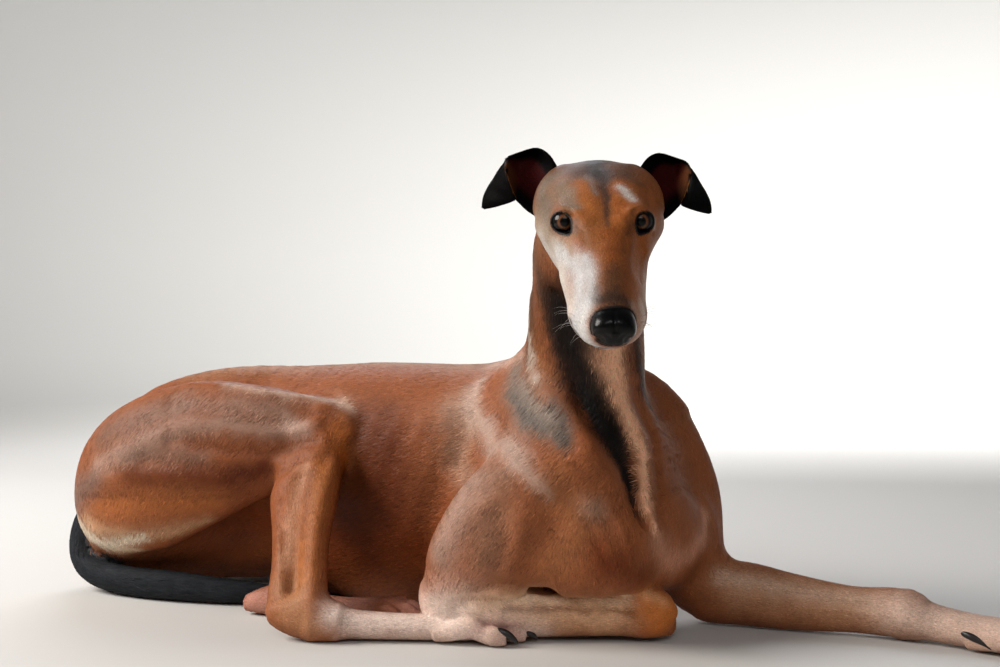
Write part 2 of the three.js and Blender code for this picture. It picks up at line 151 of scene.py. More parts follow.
def make_part(rows, side=ACROSS, power=2.0, egg=0.0, inset=2.0, lie=1, drift=(0, 0, 0)):
    """A tube through rows [x, y, z, half width, half height, egg].

    Its width lies along the side given, and its half sizes are taken in by the coat's depth, the inset. The
    coat on it lies along the path, forward or back as lie is 1 or -1, bent by drift.
    """
    rows = smooth_path(rows, 4)
    centre = rows[:, :3]
    tangent, across, upward = path_axes(centre, side)
    half = rows[:, 3:5] - inset
    eggs = rows[:, 5:6] if rows.shape[1] > 5 else np.full((len(rows), 1), egg)
    reach = half.max() + PART_REACH
    return {
        "centre": centre, "power": power, "flow": unit(tangent * lie + np.array(drift, float)),
        "columns": np.hstack([centre, across, upward, half, eggs, tangent]),
        "low": centre.min(0) - reach, "high": centre.max(0) + reach,
    }


def tube_place(part, points):
    """Where points lie in a tube: place along it, across and up as shares of the half sizes, distance out.

    The section is |x / a|^n + |y / b|^n = 1 with a widened by 1 + egg y / b, and each end is rounded out by
    END_SHARE of its half size. The distance is |q| (1 - 1 / r), where q is the point's offset from the path
    and r its size in units of the section.
    """
    place, _ = nearest_on_path(part["centre"], points)
    row = sample(part["columns"], place)
    offset = points - row[:, 0:3]
    x, y, z = (np.einsum("ij,ij->i", offset, row[:, i:i + 3]) for i in (3, 6, 12))
    beyond = np.where((place <= 0) | (place >= len(part["centre"]) - 1.001), z, 0)
    half_width, half_height = row[:, 9], row[:, 10]
    v = y / half_height
    u = x / (half_width * (1 + row[:, 11] * np.clip(v, -1, 1)))
    power = part["power"]
    ring = (np.abs(u) ** power + np.abs(v) ** power) ** (1 / power)
    size = np.hypot(ring, beyond / (END_SHARE * np.minimum(half_width, half_height)))
    length = np.sqrt(x * x + y * y + beyond * beyond)
    out = length - length / np.maximum(size, 1e-6)
    return place, u, v, np.where(size < 1e-6, -np.minimum(half_width, half_height), out)


def tube_distance(part, points):
    """The distance outside a tube, and FAR beyond the tube's neighbourhood."""
    out = np.full(len(points), FAR)
    near = inside_box(points, part["low"], part["high"])
    if len(near):
        out[near] = np.minimum(tube_place(part, points[near])[3], FAR)
    return out


# The parts' tables. Columns: x, y, z, half width, half height, and for the head its egg.
TRUNK = [
    [246, -36, 120, 30, 28], [224, -26, 128, 60, 62], [190, -10, 142, 76, 92], [145, 8, 143, 84, 120],
    [90, 26, 139, 89, 137], [20, 48, 138, 92, 140], [-60, 62, 139, 95, 141], [-140, 70, 144, 93, 137],
    [-210, 78, 157, 82, 123], [-280, 76, 173, 72, 105], [-340, 63, 172, 70, 95], [-388, 50, 156, 68, 88],
    [-424, 40, 130, 60, 75], [-456, 33, 104, 44, 56], [-478, 29, 88, 20, 28]]
NECK = [
    [116, 18, 176, 72, 84], [144, 0, 224, 72, 86], [163, -32, 284, 60, 73], [174, -70, 346, 54, 64],
    [184, -104, 394, 57, 58], [196, -134, 422, 47, 45], [204, -156, 430, 35, 31]]
WITHERS = [
    [10, 48, 222, 28, 30], [56, 32, 230, 34, 34], [98, 4, 242, 32, 32], [126, -24, 268, 20, 20]]
BREAST = [
    [146, -90, 72, 27, 22], [172, -85, 85, 41, 34], [200, -74, 99, 52, 44], [216, -40, 101, 55, 44],
    [238, 0, 99, 57, 46], [252, 36, 109, 46, 42]]
BELLY = [
    [-290, 84, 50, 30, 48], [-210, 80, 47, 34, 46], [-130, 62, 43, 38, 43], [-60, 56, 43, 40, 43],
    [20, 56, 45, 40, 45], [100, 50, 52, 36, 48], [165, 36, 58, 34, 50], [214, 30, 68, 30, 42]]
HEAD = on_head([
    [-114, 0, -24, 22, 17, 0], [-100, 0, -22, 40, 30, 0.06], [-72, 0, -21, 52, 43, 0.1],
    [-40, 0, -21, 57, 45, 0.1], [-14, 0, -21, 53, 43, 0.06], [14, 0, -22, 43, 38, -0.04],
    [44, 0, -25, 36.5, 33, -0.14], [76, 0.5, -28, 32, 30, -0.22], [102, 1, -31, 29, 27, -0.24],
    [119, 2, -33, 24, 22, -0.14], [130, 3, -34, 15, 13, 0]])
SHOULDER_RIGHT = [
    [80, -18, 246, 22, 30], [115, -42, 230, 32, 46], [150, -62, 208, 34, 50], [182, -76, 184, 30, 36]]
ARM_RIGHT = [
    [190, -78, 184, 30, 38], [150, -84, 160, 36, 56], [105, -90, 122, 38, 66], [65, -92, 82, 34, 56],
    [38, -88, 50, 26, 40], [22, -86, 36, 16, 24]]
FOREARM_RIGHT = [
    [10, -86, 34, 16, 20], [32, -88, 37, 28, 32], [75, -84, 34, 26, 31], [120, -74, 29, 22, 26],
    [170, -62, 27, 18, 23], [205, -53, 29, 19, 24.5], [228, -48, 30, 21.5, 27.5], [244, -45, 31, 19, 24],
    [254, -43.5, 31, 13, 16], [259, -43, 31, 6, 7]]
PAW_FRONT_RIGHT = [
    [246, -38, 24, 16, 20], [232, -29, 18, 18, 18], [208, -24, 15, 19, 15], [184, -22, 14, 21, 14],
    [168, -22, 13, 20, 13]]
SHOULDER_LEFT = [
    [95, 60, 250, 22, 30], [155, 68, 247, 32, 42], [202, 64, 234, 33, 41], [232, 60, 208, 25, 32]]
ARM_LEFT = [
    [210, 62, 226, 18, 20], [228, 61, 204, 27, 33], [241, 60, 180, 34, 41], [250, 54, 136, 36, 48],
    [255, 48, 88, 35, 47], [260, 44, 54, 31, 42], [260, 42, 34, 22, 28]]
FOREARM_LEFT = [
    [254, 44, 31, 16, 18], [276, 42, 34, 27, 33], [320, 40, 35, 27, 35], [370, 37, 30, 23, 31],
    [430, 34, 27, 19, 25], [474, 32, 27, 23, 26], [494, 30, 25, 21, 22]]
PAW_FRONT_LEFT = [
    [482, 31, 26, 21, 23], [510, 24, 21, 19, 19], [545, 14, 18, 21, 17], [572, 6, 17, 26, 17],
    [586, 2, 16, 22, 14]]
THIGH_RIGHT = [
    [-456, -4, 86, 24, 36], [-428, -14, 102, 42, 63], [-388, -23, 130, 52, 85], [-340, -28, 158, 54, 90],
    [-275, -28, 180, 50, 82], [-215, -22, 191, 42, 66], [-170, -12, 198, 34, 52], [-138, -4, 202, 28, 40],
    [-118, 0, 202, 16, 24]]
SHANK_SIDE = (0.2, 1, 0)
TIBIA_RIGHT = [
    [-140, 0, 216, 22, 24], [-134, -10, 196, 28, 30], [-136, -36, 164, 27, 33], [-129, -64, 128, 21, 29],
    [-120, -92, 92, 17, 24], [-109, -116, 60, 16, 22], [-102, -130, 40, 16, 21], [-100, -136, 28, 14, 16]]
CALF_RIGHT = [
    [-176, -4, 196, 14, 18], [-166, -30, 170, 22, 32], [-160, -60, 136, 19, 28], [-150, -88, 100, 12, 21],
    [-142, -112, 68, 10, 16], [-137, -132, 42, 10, 14], [-134, -140, 28, 10, 13]]
HOCK_RIGHT = [
    [-138, -146, 25, 8, 9], [-125, -144, 24, 12.5, 16], [-104, -138, 22, 17, 21], [-72, -129, 19, 16, 17]]
FOOT_RIGHT = [
    [-96, -136, 20, 17, 18], [-50, -123, 16, 16, 15], [0, -109, 14, 17, 13.5], [40, -98, 14, 19.5, 13.5],
    [60, -93, 13, 19, 12], [70, -90, 11, 15, 9]]
THIGH_LEFT = [
    [-466, 14, 50, 36, 30], [-442, 32, 52, 46, 50], [-408, 54, 62, 60, 64], [-360, 80, 68, 66, 80],
    [-300, 104, 63, 61, 78], [-240, 134, 55, 53, 66], [-205, 163, 51, 42, 42], [-184, 172, 45, 24, 26]]
SHANK_LEFT = [
    [-192, 176, 42, 26, 28], [-192, 146, 42, 32, 38], [-190, 98, 36, 28, 36], [-188, 40, 28, 22, 29],
    [-186, -15, 21, 16, 22], [-182, -52, 18, 14, 18]]
HOCK_LEFT = [
    [-216, -60, 12, 7, 9], [-204, -60, 14, 11, 13], [-180, -58, 17, 14.5, 17], [-140, -58, 15, 14, 14]]
FOOT_LEFT = [
    [-168, -57, 18, 15, 16], [-110, -59, 14, 16, 13], [-70, -59, 14, 18, 14], [-46, -58, 15, 21, 15],
    [-30, -58, 14, 18, 13]]
TAIL = [
    [-450, 28, 126, 22, 24], [-474, 20, 98, 20, 20], [-484, 8, 68, 17, 17], [-474, -6, 40, 16, 16],
    [-444, -16, 24, 17, 19], [-390, -27, 19, 16, 20], [-330, -33, 19, 15, 20], [-260, -29, 16, 14, 17],
    [-215, -18, 13, 12, 14], [-185, -14, 10, 10, 11], [-130, -20, 8, 8, 9]]
NOSE = on_head([
    [110, 3, -21.5, 11, 7], [118, 3, -24, 15.5, 11.5], [127, 3, -27, 17.6, 14], [134, 3, -29.5, 16.3, 12.8],
    [139, 3, -31, 10.8, 8]])

# Where each foot's toes start, the way they point in degrees, and their size.
FEET = {
    "front_left": (576, 4, -20, 1.05), "front_right": (172, -22, 178, 0.92),
    "hind_right": (62, -92, 13, 1.08), "hind_left": (-36, -57, -2, 1.0)}
TOE_SPREAD = 12.4
TOE_FAN = 0.08  # how much each toe turns away from the next, in radians
OUTER_TOE_BACK = 17  # how much shorter the outer toes reach than the middle two
TOE = [  # along, up, half sizes
    [-20, 9, 5, 7], [-6, 12, 6.2, 9], [6, 15.4, 6.9, 10.2], [15, 16.4, 7, 10.2], [26, 11.6, 6.1, 8.2],
    [37, 9.8, 6.9, 9.6], [48, 7.4, 4, 6]]
CLAW = [
    [35, 13.6, 2.6, 3.4], [42, 14, 3.3, 4.2], [49, 12, 3.0, 3.9], [55, 8.4, 2.0, 2.5], [59, 5, 0.6, 0.8]]
DEWCLAWS = {
    "front_left": [
        [526, 4, 20, 2, 2.4], [537, -4, 17, 3, 3.6], [548, -9, 12.5, 2, 2.6], [554, -11, 8, 0.8, 1]],
    "front_right": [[226, -14, 17, 2, 2.4], [218, -8, 15, 3, 3.6], [208, -5, 11, 0.8, 1]]}


def digit(foot, number, rows):
    """One toe's or claw's rows, from its along, up and half sizes, and the way across it."""
    x, y, heading, size = FEET[foot]
    angle = np.radians(heading)
    place = number - 1.5
    back = OUTER_TOE_BACK if abs(place) > 1 else 0
    fan = angle + TOE_FAN * place
    out = []
    for along, up, a, b in rows:
        out.append([
            x + size * ((along - back) * np.cos(fan) - place * TOE_SPREAD * np.sin(angle)),
            y + size * ((along - back) * np.sin(fan) + place * TOE_SPREAD * np.cos(angle)),
            size * up, size * a, size * b])
    return out, (-np.sin(angle), np.cos(angle), 0)


PARTS = {
    "trunk": make_part(TRUNK, power=2.2, egg=-0.18, drift=(0, 0, -0.35)),
    "neck": make_part(NECK, side=(0.6, 0.8, 0), lie=-1),
    "withers": make_part(WITHERS, lie=-1),
    "breast": make_part(BREAST, side=UPWARD, lie=0, drift=(0, 0, -1)),
    "belly": make_part(BELLY, side=UPWARD),
    "head": make_part(HEAD, side=LEFT, power=2.4, inset=1.2, lie=-1),
    "shoulder_right": make_part(SHOULDER_RIGHT, lie=0, drift=(-0.6, 0, -0.8)),
    "arm_right": make_part(ARM_RIGHT, lie=0.4, drift=(-0.3, 0, -0.6)),
    "forearm_right": make_part(FOREARM_RIGHT, inset=1.4),
    "paw_front_right": make_part(PAW_FRONT_RIGHT, inset=0.8),
    "shoulder_left": make_part(SHOULDER_LEFT, lie=0, drift=(-0.6, 0, -0.8)),
    "arm_left": make_part(ARM_LEFT, drift=(-0.2, 0, -0.6)),
    "forearm_left": make_part(FOREARM_LEFT, inset=1.4),
    "paw_front_left": make_part(PAW_FRONT_LEFT, inset=0.8),
    "thigh_right": make_part(THIGH_RIGHT, lie=-0.6, drift=(0, 0, -0.8)),
    "tibia_right": make_part(TIBIA_RIGHT, side=SHANK_SIDE, inset=1.4),
    "calf_right": make_part(CALF_RIGHT, side=SHANK_SIDE, inset=1.2),
    "hock_right": make_part(HOCK_RIGHT, inset=0.8),
    "foot_right": make_part(FOOT_RIGHT, inset=0.8),
    "thigh_left": make_part(THIGH_LEFT, side=UPWARD, lie=-0.6, drift=(0, 0, -0.5)),
    "shank_left": make_part(SHANK_LEFT, side=UPWARD, inset=1.4),
    "hock_left": make_part(HOCK_LEFT, inset=0.8),
    "foot_left": make_part(FOOT_LEFT, inset=0.8),
    "tail": make_part(TAIL, inset=3.0),
}
for foot_name in FEET:
    for toe_number in range(4):
        toe_rows, toe_side = digit(foot_name, toe_number, TOE)
        PARTS[f"toe_{foot_name}_{toe_number}"] = make_part(toe_rows, side=toe_side, inset=0.6)


def toes_of(foot):
    """The toes of one foot, each with the softness of its join."""
    return [(f"toe_{foot}_{number}", 2.4) for number in range(4)]


# Limbs in the order they are joined: parts with the softness of each join, then how softly the limb joins
# the rest of the body away from its joint and at it, the joint, and how far that reaches.
LIMBS = [
    ([("trunk", 0), ("neck", 46), ("withers", 34), ("breast", 40), ("belly", 44)], 0, 0, (0, 0, 0), 1),
    ([("head", 0)], 16, 30, HEAD_ORIGIN - 90 * FORWARD, 70),
    ([("shoulder_right", 0), ("arm_right", 34)], 26, 44, (130, -50, 220), 110),
    ([("forearm_right", 0)], 5, 26, (20, -90, 42), 45),
    ([("paw_front_right", 0), *toes_of("front_right")], 2, 16, (248, -42, 26), 26),
    ([("shoulder_left", 0), ("arm_left", 44)], 26, 44, (170, 50, 230), 110),
    ([("forearm_left", 0), ("paw_front_left", 12), *toes_of("front_left")], 8, 34, (264, 44, 56), 60),
    ([("thigh_right", 0)], 8, 44, (-410, 0, 190), 110),
    ([("tibia_right", 0), ("calf_right", 13), ("hock_right", 14), ("foot_right", 16),
      *toes_of("hind_right")], 3, 30, (-142, -14, 196), 60),
    ([("thigh_left", 0)], 20, 60, (-420, 50, 110), 90),
    ([("shank_left", 0), ("hock_left", 8), ("foot_left", 8), *toes_of("hind_left")],
     3, 24, (-192, 160, 44), 50),
    ([("tail", 0)], 3, 26, (-462, 24, 112), 45),
]

# The eyes, on the head's axes.
EYE_RADIUS = 11.5
CORNEA_BULGE = 0.7
EYE_CENTRE = np.array([5.0, 32.0, 1.0])
GAZE = np.array([0.89, 0.28, 0.3])  # the way the eye opening faces
LOOK = np.array([0.89, -0.03, 0.45])  # the way both pupils look
LID_RADIUS = 12.7
LID_FLOOR = 7.4  # how deep the opening is cut, from the eye's centre
OPENING = (8.7, 7.3)  # half width and half height of the eye opening
OPENING_TILT = np.radians(9)
INNER_CORNER = (8.2, 3.2, 1.6)  # how far inward and down the opening is drawn out, and how wide it is there
EYE_REACH = 40  # the part of the head that the eye and its lids shape
LID_BLEND = 7  # how softly the lids join the head, and the opening their rim
RIM_BLEND = 1.4
FLOOR_GAP = 0.5  # the skin's height over the floor, and how softly it is flattened there
FLOOR_BLEND = 3


def eye_axes(side):
    """An eye's centre and its axes along the gaze, toward the outer corner and up, on the dog's axes."""
    mirror = np.array([1, side, 1])
    centre = on_head(EYE_CENTRE * mirror)[0]
    gaze = unit(GAZE * mirror) @ HEAD_AXES
    up = unit(CROWN - gaze * (CROWN @ gaze))
    outward = np.cross(up, gaze) * -side
    if outward @ LEFT * side < 0:
        outward = -outward
    tilted = np.cos(OPENING_TILT) * outward + np.sin(OPENING_TILT) * up
    return centre, gaze, tilted, np.cos(OPENING_TILT) * up - np.sin(OPENING_TILT) * outward


def opening_distance(points, side):
    """Distance outside the eye opening, seen along the gaze, and the depth along the gaze. The opening is the
    oval |x / w|^1.9 + |y / h|^2.1 = 1, fuller above and drawn out to the inner corner."""
    centre, gaze, outward, up = eye_axes(side)
    offset = points - centre
    depth = offset @ gaze
    x = offset @ outward / OPENING[0]
    y = offset @ up / OPENING[1]
    y = np.where(y > 0, y * 0.94, y * 1.06)
    almond = (np.abs(x) ** 1.9 + np.abs(y) ** 2.1) ** 0.5
    inward, down, radius = INNER_CORNER
    corner = np.hypot(offset @ outward + inward, offset @ up + down) - radius
    return smooth_min((almond - 1) * OPENING[1], corner, 4), depth


def around_eye(side, rows):
    """Rows that start with outward, up and along the gaze from an eye's centre, moved to the dog's axes."""
    centre, gaze, outward, up = eye_axes(side)
    rows = np.array(rows, float)
    rows[:, :3] = centre + rows[:, :3] @ np.array([outward, up, gaze])
    return rows


def mirrored(rows, side):
    """Rows for the left side as they are, and for the right with their second number turned."""
    return [[x, side * y, *rest] for x, y, *rest in rows]


# Soft ridges, above 0, and grooves, below 0: height, then rows [x, y, z, width].
RELIEF = [
    # The blade bone's spine and front edge, with the hollows between and behind them.
    (3.4, [[48, -42, 231, 12], [69, -59, 204, 12], [109, -105, 183, 11], [131, -119, 166, 10],
        [146, -121, 155, 10]]),
    (2.0, [[99, -70, 217, 10], [124, -108, 191, 10], [142, -120, 164, 10]]),
    (-2.2, [[84, -62, 222, 10], [112, -96, 196, 9], [130, -112, 178, 8]]),
    (-5.0, [[41, -49, 222, 14], [33, -53, 186, 16], [15, -46, 157, 16], [-10, -36, 110, 15],
        [-20, -20, 60, 14]]),
    # The upper arm: the long head above the elbow, the muscle in front, and the furrows beside them.
    (3.4, [[30, -112, 89, 14], [52, -118, 120, 15], [92, -122, 150, 12]]),
    (-3.0, [[96, -122, 132, 11], [104, -124, 108, 11], [96, -118, 84, 11]]),
    (2.6, [[118, -123, 128, 9], [116, -122, 104, 9]]),
    (-4.2, [[142, -121, 147, 12], [147, -120, 125, 12], [134, -120, 103, 11], [118, -112, 80, 10]]),
    (3.0, [[182, -108, 144, 14], [176, -104, 112, 14]]),
    # Folds of skin at the elbow, and the strings of the folded foreleg.
    (-4.0, [[50, -112, 38, 7], [76, -118, 55, 7], [106, -112, 64, 7], [124, -84, 54, 7],
        [156, -50, 50, 7]]),
    (-2.0, [[61, -112, 42, 5.5], [89, -107, 46, 5.5], [120, -92, 45, 5.5]]),
    (2.0, [[60, -114, 50, 4.5], [92, -110, 55, 4.5], [124, -88, 50, 4.5]]),
    (-2.6, [[99, -102, 36, 7], [132, -89, 36, 7], [182, -75, 33, 6.5], [220, -67, 33, 6]]),
    (1.6, [[96, -104, 49, 5], [160, -78, 46, 5], [214, -62, 46, 5]]),
    (2.2, [[230, -60, 50, 8], [244, -62, 38, 8], [236, -64, 22, 8]]),
    (-1.6, [[214, -58, 46, 5], [216, -72, 30, 5], [212, -66, 14, 5]]),
    # The neck: the long muscle's ridge, the furrow in front of it, the windpipe and its far side.
    (2.6, [[108, -70, 350, 7], [110, -70, 305, 8], [120, -74, 270, 8], [142, -83, 246, 9],
        [158, -88, 234, 9], [186, -108, 184, 11]]),
    (-5.5, [[158, -122, 350, 8], [160, -112, 315, 8], [163, -104, 284, 9], [172, -92, 246, 9],
        [187, -95, 210, 9], [200, -85, 183, 8], [214, -80, 152, 7], [226, -82, 122, 6]]),
    (3.6, [[190, -118, 320, 9], [193, -107, 292, 9], [199, -95, 270, 9], [206, -78, 247, 8],
        [212, -62, 223, 8], [219, -55, 199, 7], [225, -69, 174, 7], [229, -72, 145, 6],
        [232, -78, 122, 6]]),
    (-4.5, [[218, -100, 310, 8], [219, -80, 281, 8], [222, -58, 254, 8], [224, -40, 222, 8],
        [228, -36, 202, 7], [236, -46, 165, 6], [240, -62, 132, 5]]),
    # The thigh: its upper rim, bands of muscle, and the long groove that runs to the knee.
    (2.6, [[-300, -40, 252, 9], [-250, -42, 251, 8], [-187, -34, 243, 7], [-138, -16, 236, 7]]),
    (-3.2, [[-310, -60, 236, 13], [-279, -62, 236, 13], [-232, -58, 227, 12], [-196, -54, 216, 11],
        [-175, -48, 207, 10]]),
    (3.0, [[-398, -73, 162, 12], [-347, -79, 185, 13], [-310, -76, 201, 11], [-264, -70, 213, 9],
        [-232, -65, 206, 8], [-195, -56, 200, 8], [-163, -44, 206, 8], [-140, -33, 212, 8]]),
    (-4.6, [[-300, -76, 194, 10], [-250, -70, 186, 10], [-223, -66, 182, 10], [-190, -55, 183, 10],
        [-163, -46, 187, 9], [-139, -45, 194, 8]]),
    (1.8, [[-250, -70, 172, 10], [-215, -62, 166, 10], [-180, -56, 170, 9]]),
    (-2.8, [[-330, -80, 170, 12], [-292, -79, 169, 12], [-253, -72, 164, 11], [-212, -60, 153, 11],
        [-176, -62, 158, 10], [-150, -58, 174, 9]]),
    (2.6, [[-410, -71, 145, 11], [-331, -80, 150, 12], [-275, -75, 147, 11], [-243, -64, 138, 9]]),
    (-3.0, [[-424, -62, 120, 9], [-350, -76, 124, 10], [-280, -70, 122, 9], [-236, -56, 122, 7]]),
    (2.6, [[-410, -56, 84, 12], [-340, -70, 92, 14], [-270, -60, 102, 12], [-228, -48, 114, 9]]),
    (-3.0, [[-226, -50, 116, 11], [-210, -54, 130, 11], [-194, -58, 142, 10]]),
    # The knee, the shin, and the strings of the heel with the hollow between.
    (3.0, [[-143, -27, 229, 7], [-120, -16, 221, 8], [-106, -14, 198, 8]]),
    (-2.2, [[-132, -30, 208, 8], [-122, -36, 190, 8], [-124, -52, 170, 8]]),
    (2.2, [[-112, -54, 168, 7], [-111, -92, 124, 7], [-101, -126, 74, 6], [-94, -142, 46, 6]]),
    (-3.6, [[-144, -70, 156, 9], [-139, -92, 122, 9], [-128, -116, 84, 8.5], [-118, -134, 52, 8]]),
    (-1.8, [[-160, -85, 130, 7], [-148, -104, 100, 7], [-138, -118, 76, 6]]),
    (1.8, [[-156, -101, 100, 5], [-141, -122, 71, 5], [-129, -140, 44, 4]]),
    # The croup, the hip and the flank.
    (2.0, [[-300, 50, 276, 14], [-340, 44, 262, 14], [-388, 34, 236, 14]]),
    (-3.0, [[-250, 20, 262, 16], [-215, 2, 246, 12], [-178, -10, 242, 10], [-140, -4, 238, 9]]),
    (-3.6, [[-96, -16, 200, 16], [-108, -8, 160, 16], [-120, 0, 120, 16]]),
    # The ribs and the back's long muscle, faint.
    *[(1.0, [[x + 26, -24, 214, 8], [x + 8, -28, 172, 8], [x - 14, -26, 120, 8]])
      for x in (-40, -72, -104)],
    (1.4, [[60, 34, 276, 14], [-20, 56, 282, 12], [-120, 70, 281, 12], [-220, 72, 279, 12]]),
    # The stretched foreleg.
    (-2.0, [[300, 14, 46, 6], [350, 12, 40, 5], [410, 13, 34, 5], [456, 10, 32, 4]]),
    (1.6, [[470, 12, 40, 8], [484, 10, 30, 8]]),
]

HEAD_RELIEF = [
    # The furrow down the forehead, the crown's ridge, and the root of each ear.
    (-1.8, [[24, 0, 15, 8], [0, 0, 20, 8], [-30, 0, 23, 9], [-60, 0, 21, 9]]),
    (1.2, [[104, 0, -5, 10], [60, 0, 6, 9]]),
    *[(height, mirrored(rows, side)) for side in (1, -1) for height, rows in [
        (5.0, [[-52, 50, -14, 9], [-62, 44, 2, 10], [-80, 35, 9, 11]]),
        # Brow, temple and cheekbone.
        (2.4, [[24, 18, 12, 7], [14, 27, 17, 8], [-4, 36, 16, 8]]),
        (-3.0, [[-18, 44, 8, 10], [-38, 50, 2, 10]]),
        (2.4, [[30, 34, -14, 8], [6, 46, -16, 8], [-30, 56, -22, 9]]),
        (-2.2, [[-8, 52, -34, 12], [24, 42, -38, 10]]),
        # The side of the muzzle: hollow under the eye, creased, and full at the lip.
        (-2.4, [[30, 27, -4, 7], [50, 26, -8, 8], [70, 24, -12, 8]]),
        (-1.2, [[26, 20, 6, 2.6], [40, 17, 4, 2.8], [58, 16, 0, 3]]),
        (-1.2, [[36, 30, -12, 2.4], [54, 28, -14, 2.8], [72, 27, -18, 3]]),
        (1.4, [[108, 25, -34, 9], [90, 28, -40, 10]]),
        # The closed mouth, and the lower jaw drawn in under it.
        (-2.4, [[126, 3, -47, 2.2], [120, 15, -49, 2.2], [104, 25, -52, 2.2], [76, 29, -53, 2.2],
            [48, 32, -53, 2.4], [28, 34, -51, 2.6]]),
        (-3.6, [[112, 20, -58, 7], [88, 30, -60, 8], [50, 34, -60, 8]]),
    ]],
]

# Creases and folds about the eyes: height, then rows [outward, up, along the gaze, width].
EYE_RELIEF = [
    (-1.6, [[-13, 0, 8, 2.2], [-10, 9, 9, 2.4], [0, 13, 8.5, 2.6], [9, 10, 5, 2.4], [14, 2, 1, 2.2]]),
    (1.6, [[-12, 12, 9, 4], [0, 17.5, 8, 4.5], [12, 13, 3, 4]]),
    (-1.3, [[-12, -8, 9, 2.2], [-3, -13, 8, 2.4], [8, -12, 4, 2.4]]),
    (-1.8, [[-9, -3, 10, 1.8], [-14, -8, 10, 2.0], [-18, -15, 10, 2.2]]),
]


def brush(path, points):
    """Falls from 1 on a path to 0 away from it: the bell exp(-(d / w)^2), with the width w read along it."""
    out = np.zeros(len(points))
    margin = 2.4 * path[:, 3].max()
    near = inside_box(points, path[:, :3].min(0) - margin, path[:, :3].max(0) + margin)
    if len(near):
        place, gap = nearest_on_path(path[:, :3], points[near])
        out[near] = np.exp(-(gap / sample(path[:, 3:], place)[:, 0]) ** 2)
    return out


def body_distance(points):
    """Distance outside the plain body: smooth unions within each limb, then of the limbs."""
    value = np.full(len(points), FAR)
    for members, apart, joined, joint, reach in LIMBS:
        own = np.full(len(points), FAR)
        for name, softness in members:
            own = smooth_min(own, tube_distance(PARTS[name], points), softness)
        close = np.exp(-((points - joint) ** 2).sum(1) / reach ** 2)
        value = smooth_min(value, own, apart + (joined - apart) * close)
    return value


def skin_distance(points):
    """Distance outside the skin: the plain body less its relief, with the lids added, the eye openings
    pressed in and everything held up by the floor."""
    value = body_distance(points)
    for height, path in RELIEF_PATHS:
        value = value - height * brush(path, points)
    for side in (-1, 1):
        centre = eye_axes(side)[0]
        near = inside_box(points, centre - EYE_REACH, centre + EYE_REACH)
        if len(near):
            here = points[near]
            lid = smooth_min(value[near], np.linalg.norm(here - centre, axis=1) - LID_RADIUS, LID_BLEND)
            for height, path in EYE_PATHS[side]:
                lid = lid - height * brush(path, here)
            plug, depth = opening_distance(here, side)
            value[near] = -smooth_min(-lid, np.maximum(plug, LID_FLOOR - depth), RIM_BLEND)
    return -smooth_min(-value, points[:, 2] - FLOOR_GAP, FLOOR_BLEND)


def slope_of(distance, points, value):
    """The slope of a distance field, by steps of half a millimetre."""
    step = 0.5
    columns = [(distance(points + step * axis) - value) / step for axis in np.eye(3)]
    return np.stack(columns, 1)


def settle(points, distance, rounds=1, most=3.0):
    """Points moved onto the level surface by Newton's steps p - f grad f / |grad f|^2."""
    for _ in range(rounds):
        value = distance(points)
        slope = slope_of(distance, points, value)
        share = np.clip(value, -most, most) / np.maximum((slope ** 2).sum(1), 0.1)
        points = points - share[:, None] * slope
    return points


def laid_on(distance, strokes):
    """Strokes of colour or relief as smooth paths whose points are moved onto a level surface."""
    paths = [smooth_path(rows, 4) for _, rows in strokes]
    places = settle(np.vstack([path[:, :3] for path in paths]), distance, 4, 20.0)
    places = np.split(places, np.cumsum([len(path) for path in paths])[:-1])
    return [
        (what, np.hstack([place, path[:, 3:]])) for (what, _), place, path in zip(strokes, places, paths)]


RELIEF_PATHS = laid_on(body_distance, RELIEF + [(height, on_head(rows)) for height, rows in HEAD_RELIEF])
EYE_PATHS = {
    side: [(height, smooth_path(around_eye(side, rows), 4)) for height, rows in EYE_RELIEF]
    for side in (-1, 1)}


def relax(points, triangles, rounds=1, share=0.5):
    """Each point moved part of the way to the mean of its neighbours."""
    first, second = triangles.ravel(), np.roll(triangles, -1, 1).ravel()
    count = np.maximum(np.bincount(first, minlength=len(points)), 1)
    for _ in range(rounds):
        total = [np.bincount(first, weights=points[second, c], minlength=len(points)) for c in range(3)]
        points = points + share * (np.stack(total, 1) / count[:, None] - points)
    return points


def triangles_of(quads):
    """Each quad as two triangles."""
    return np.vstack([quads[:, [0, 1, 2]], quads[:, [0, 2, 3]]])


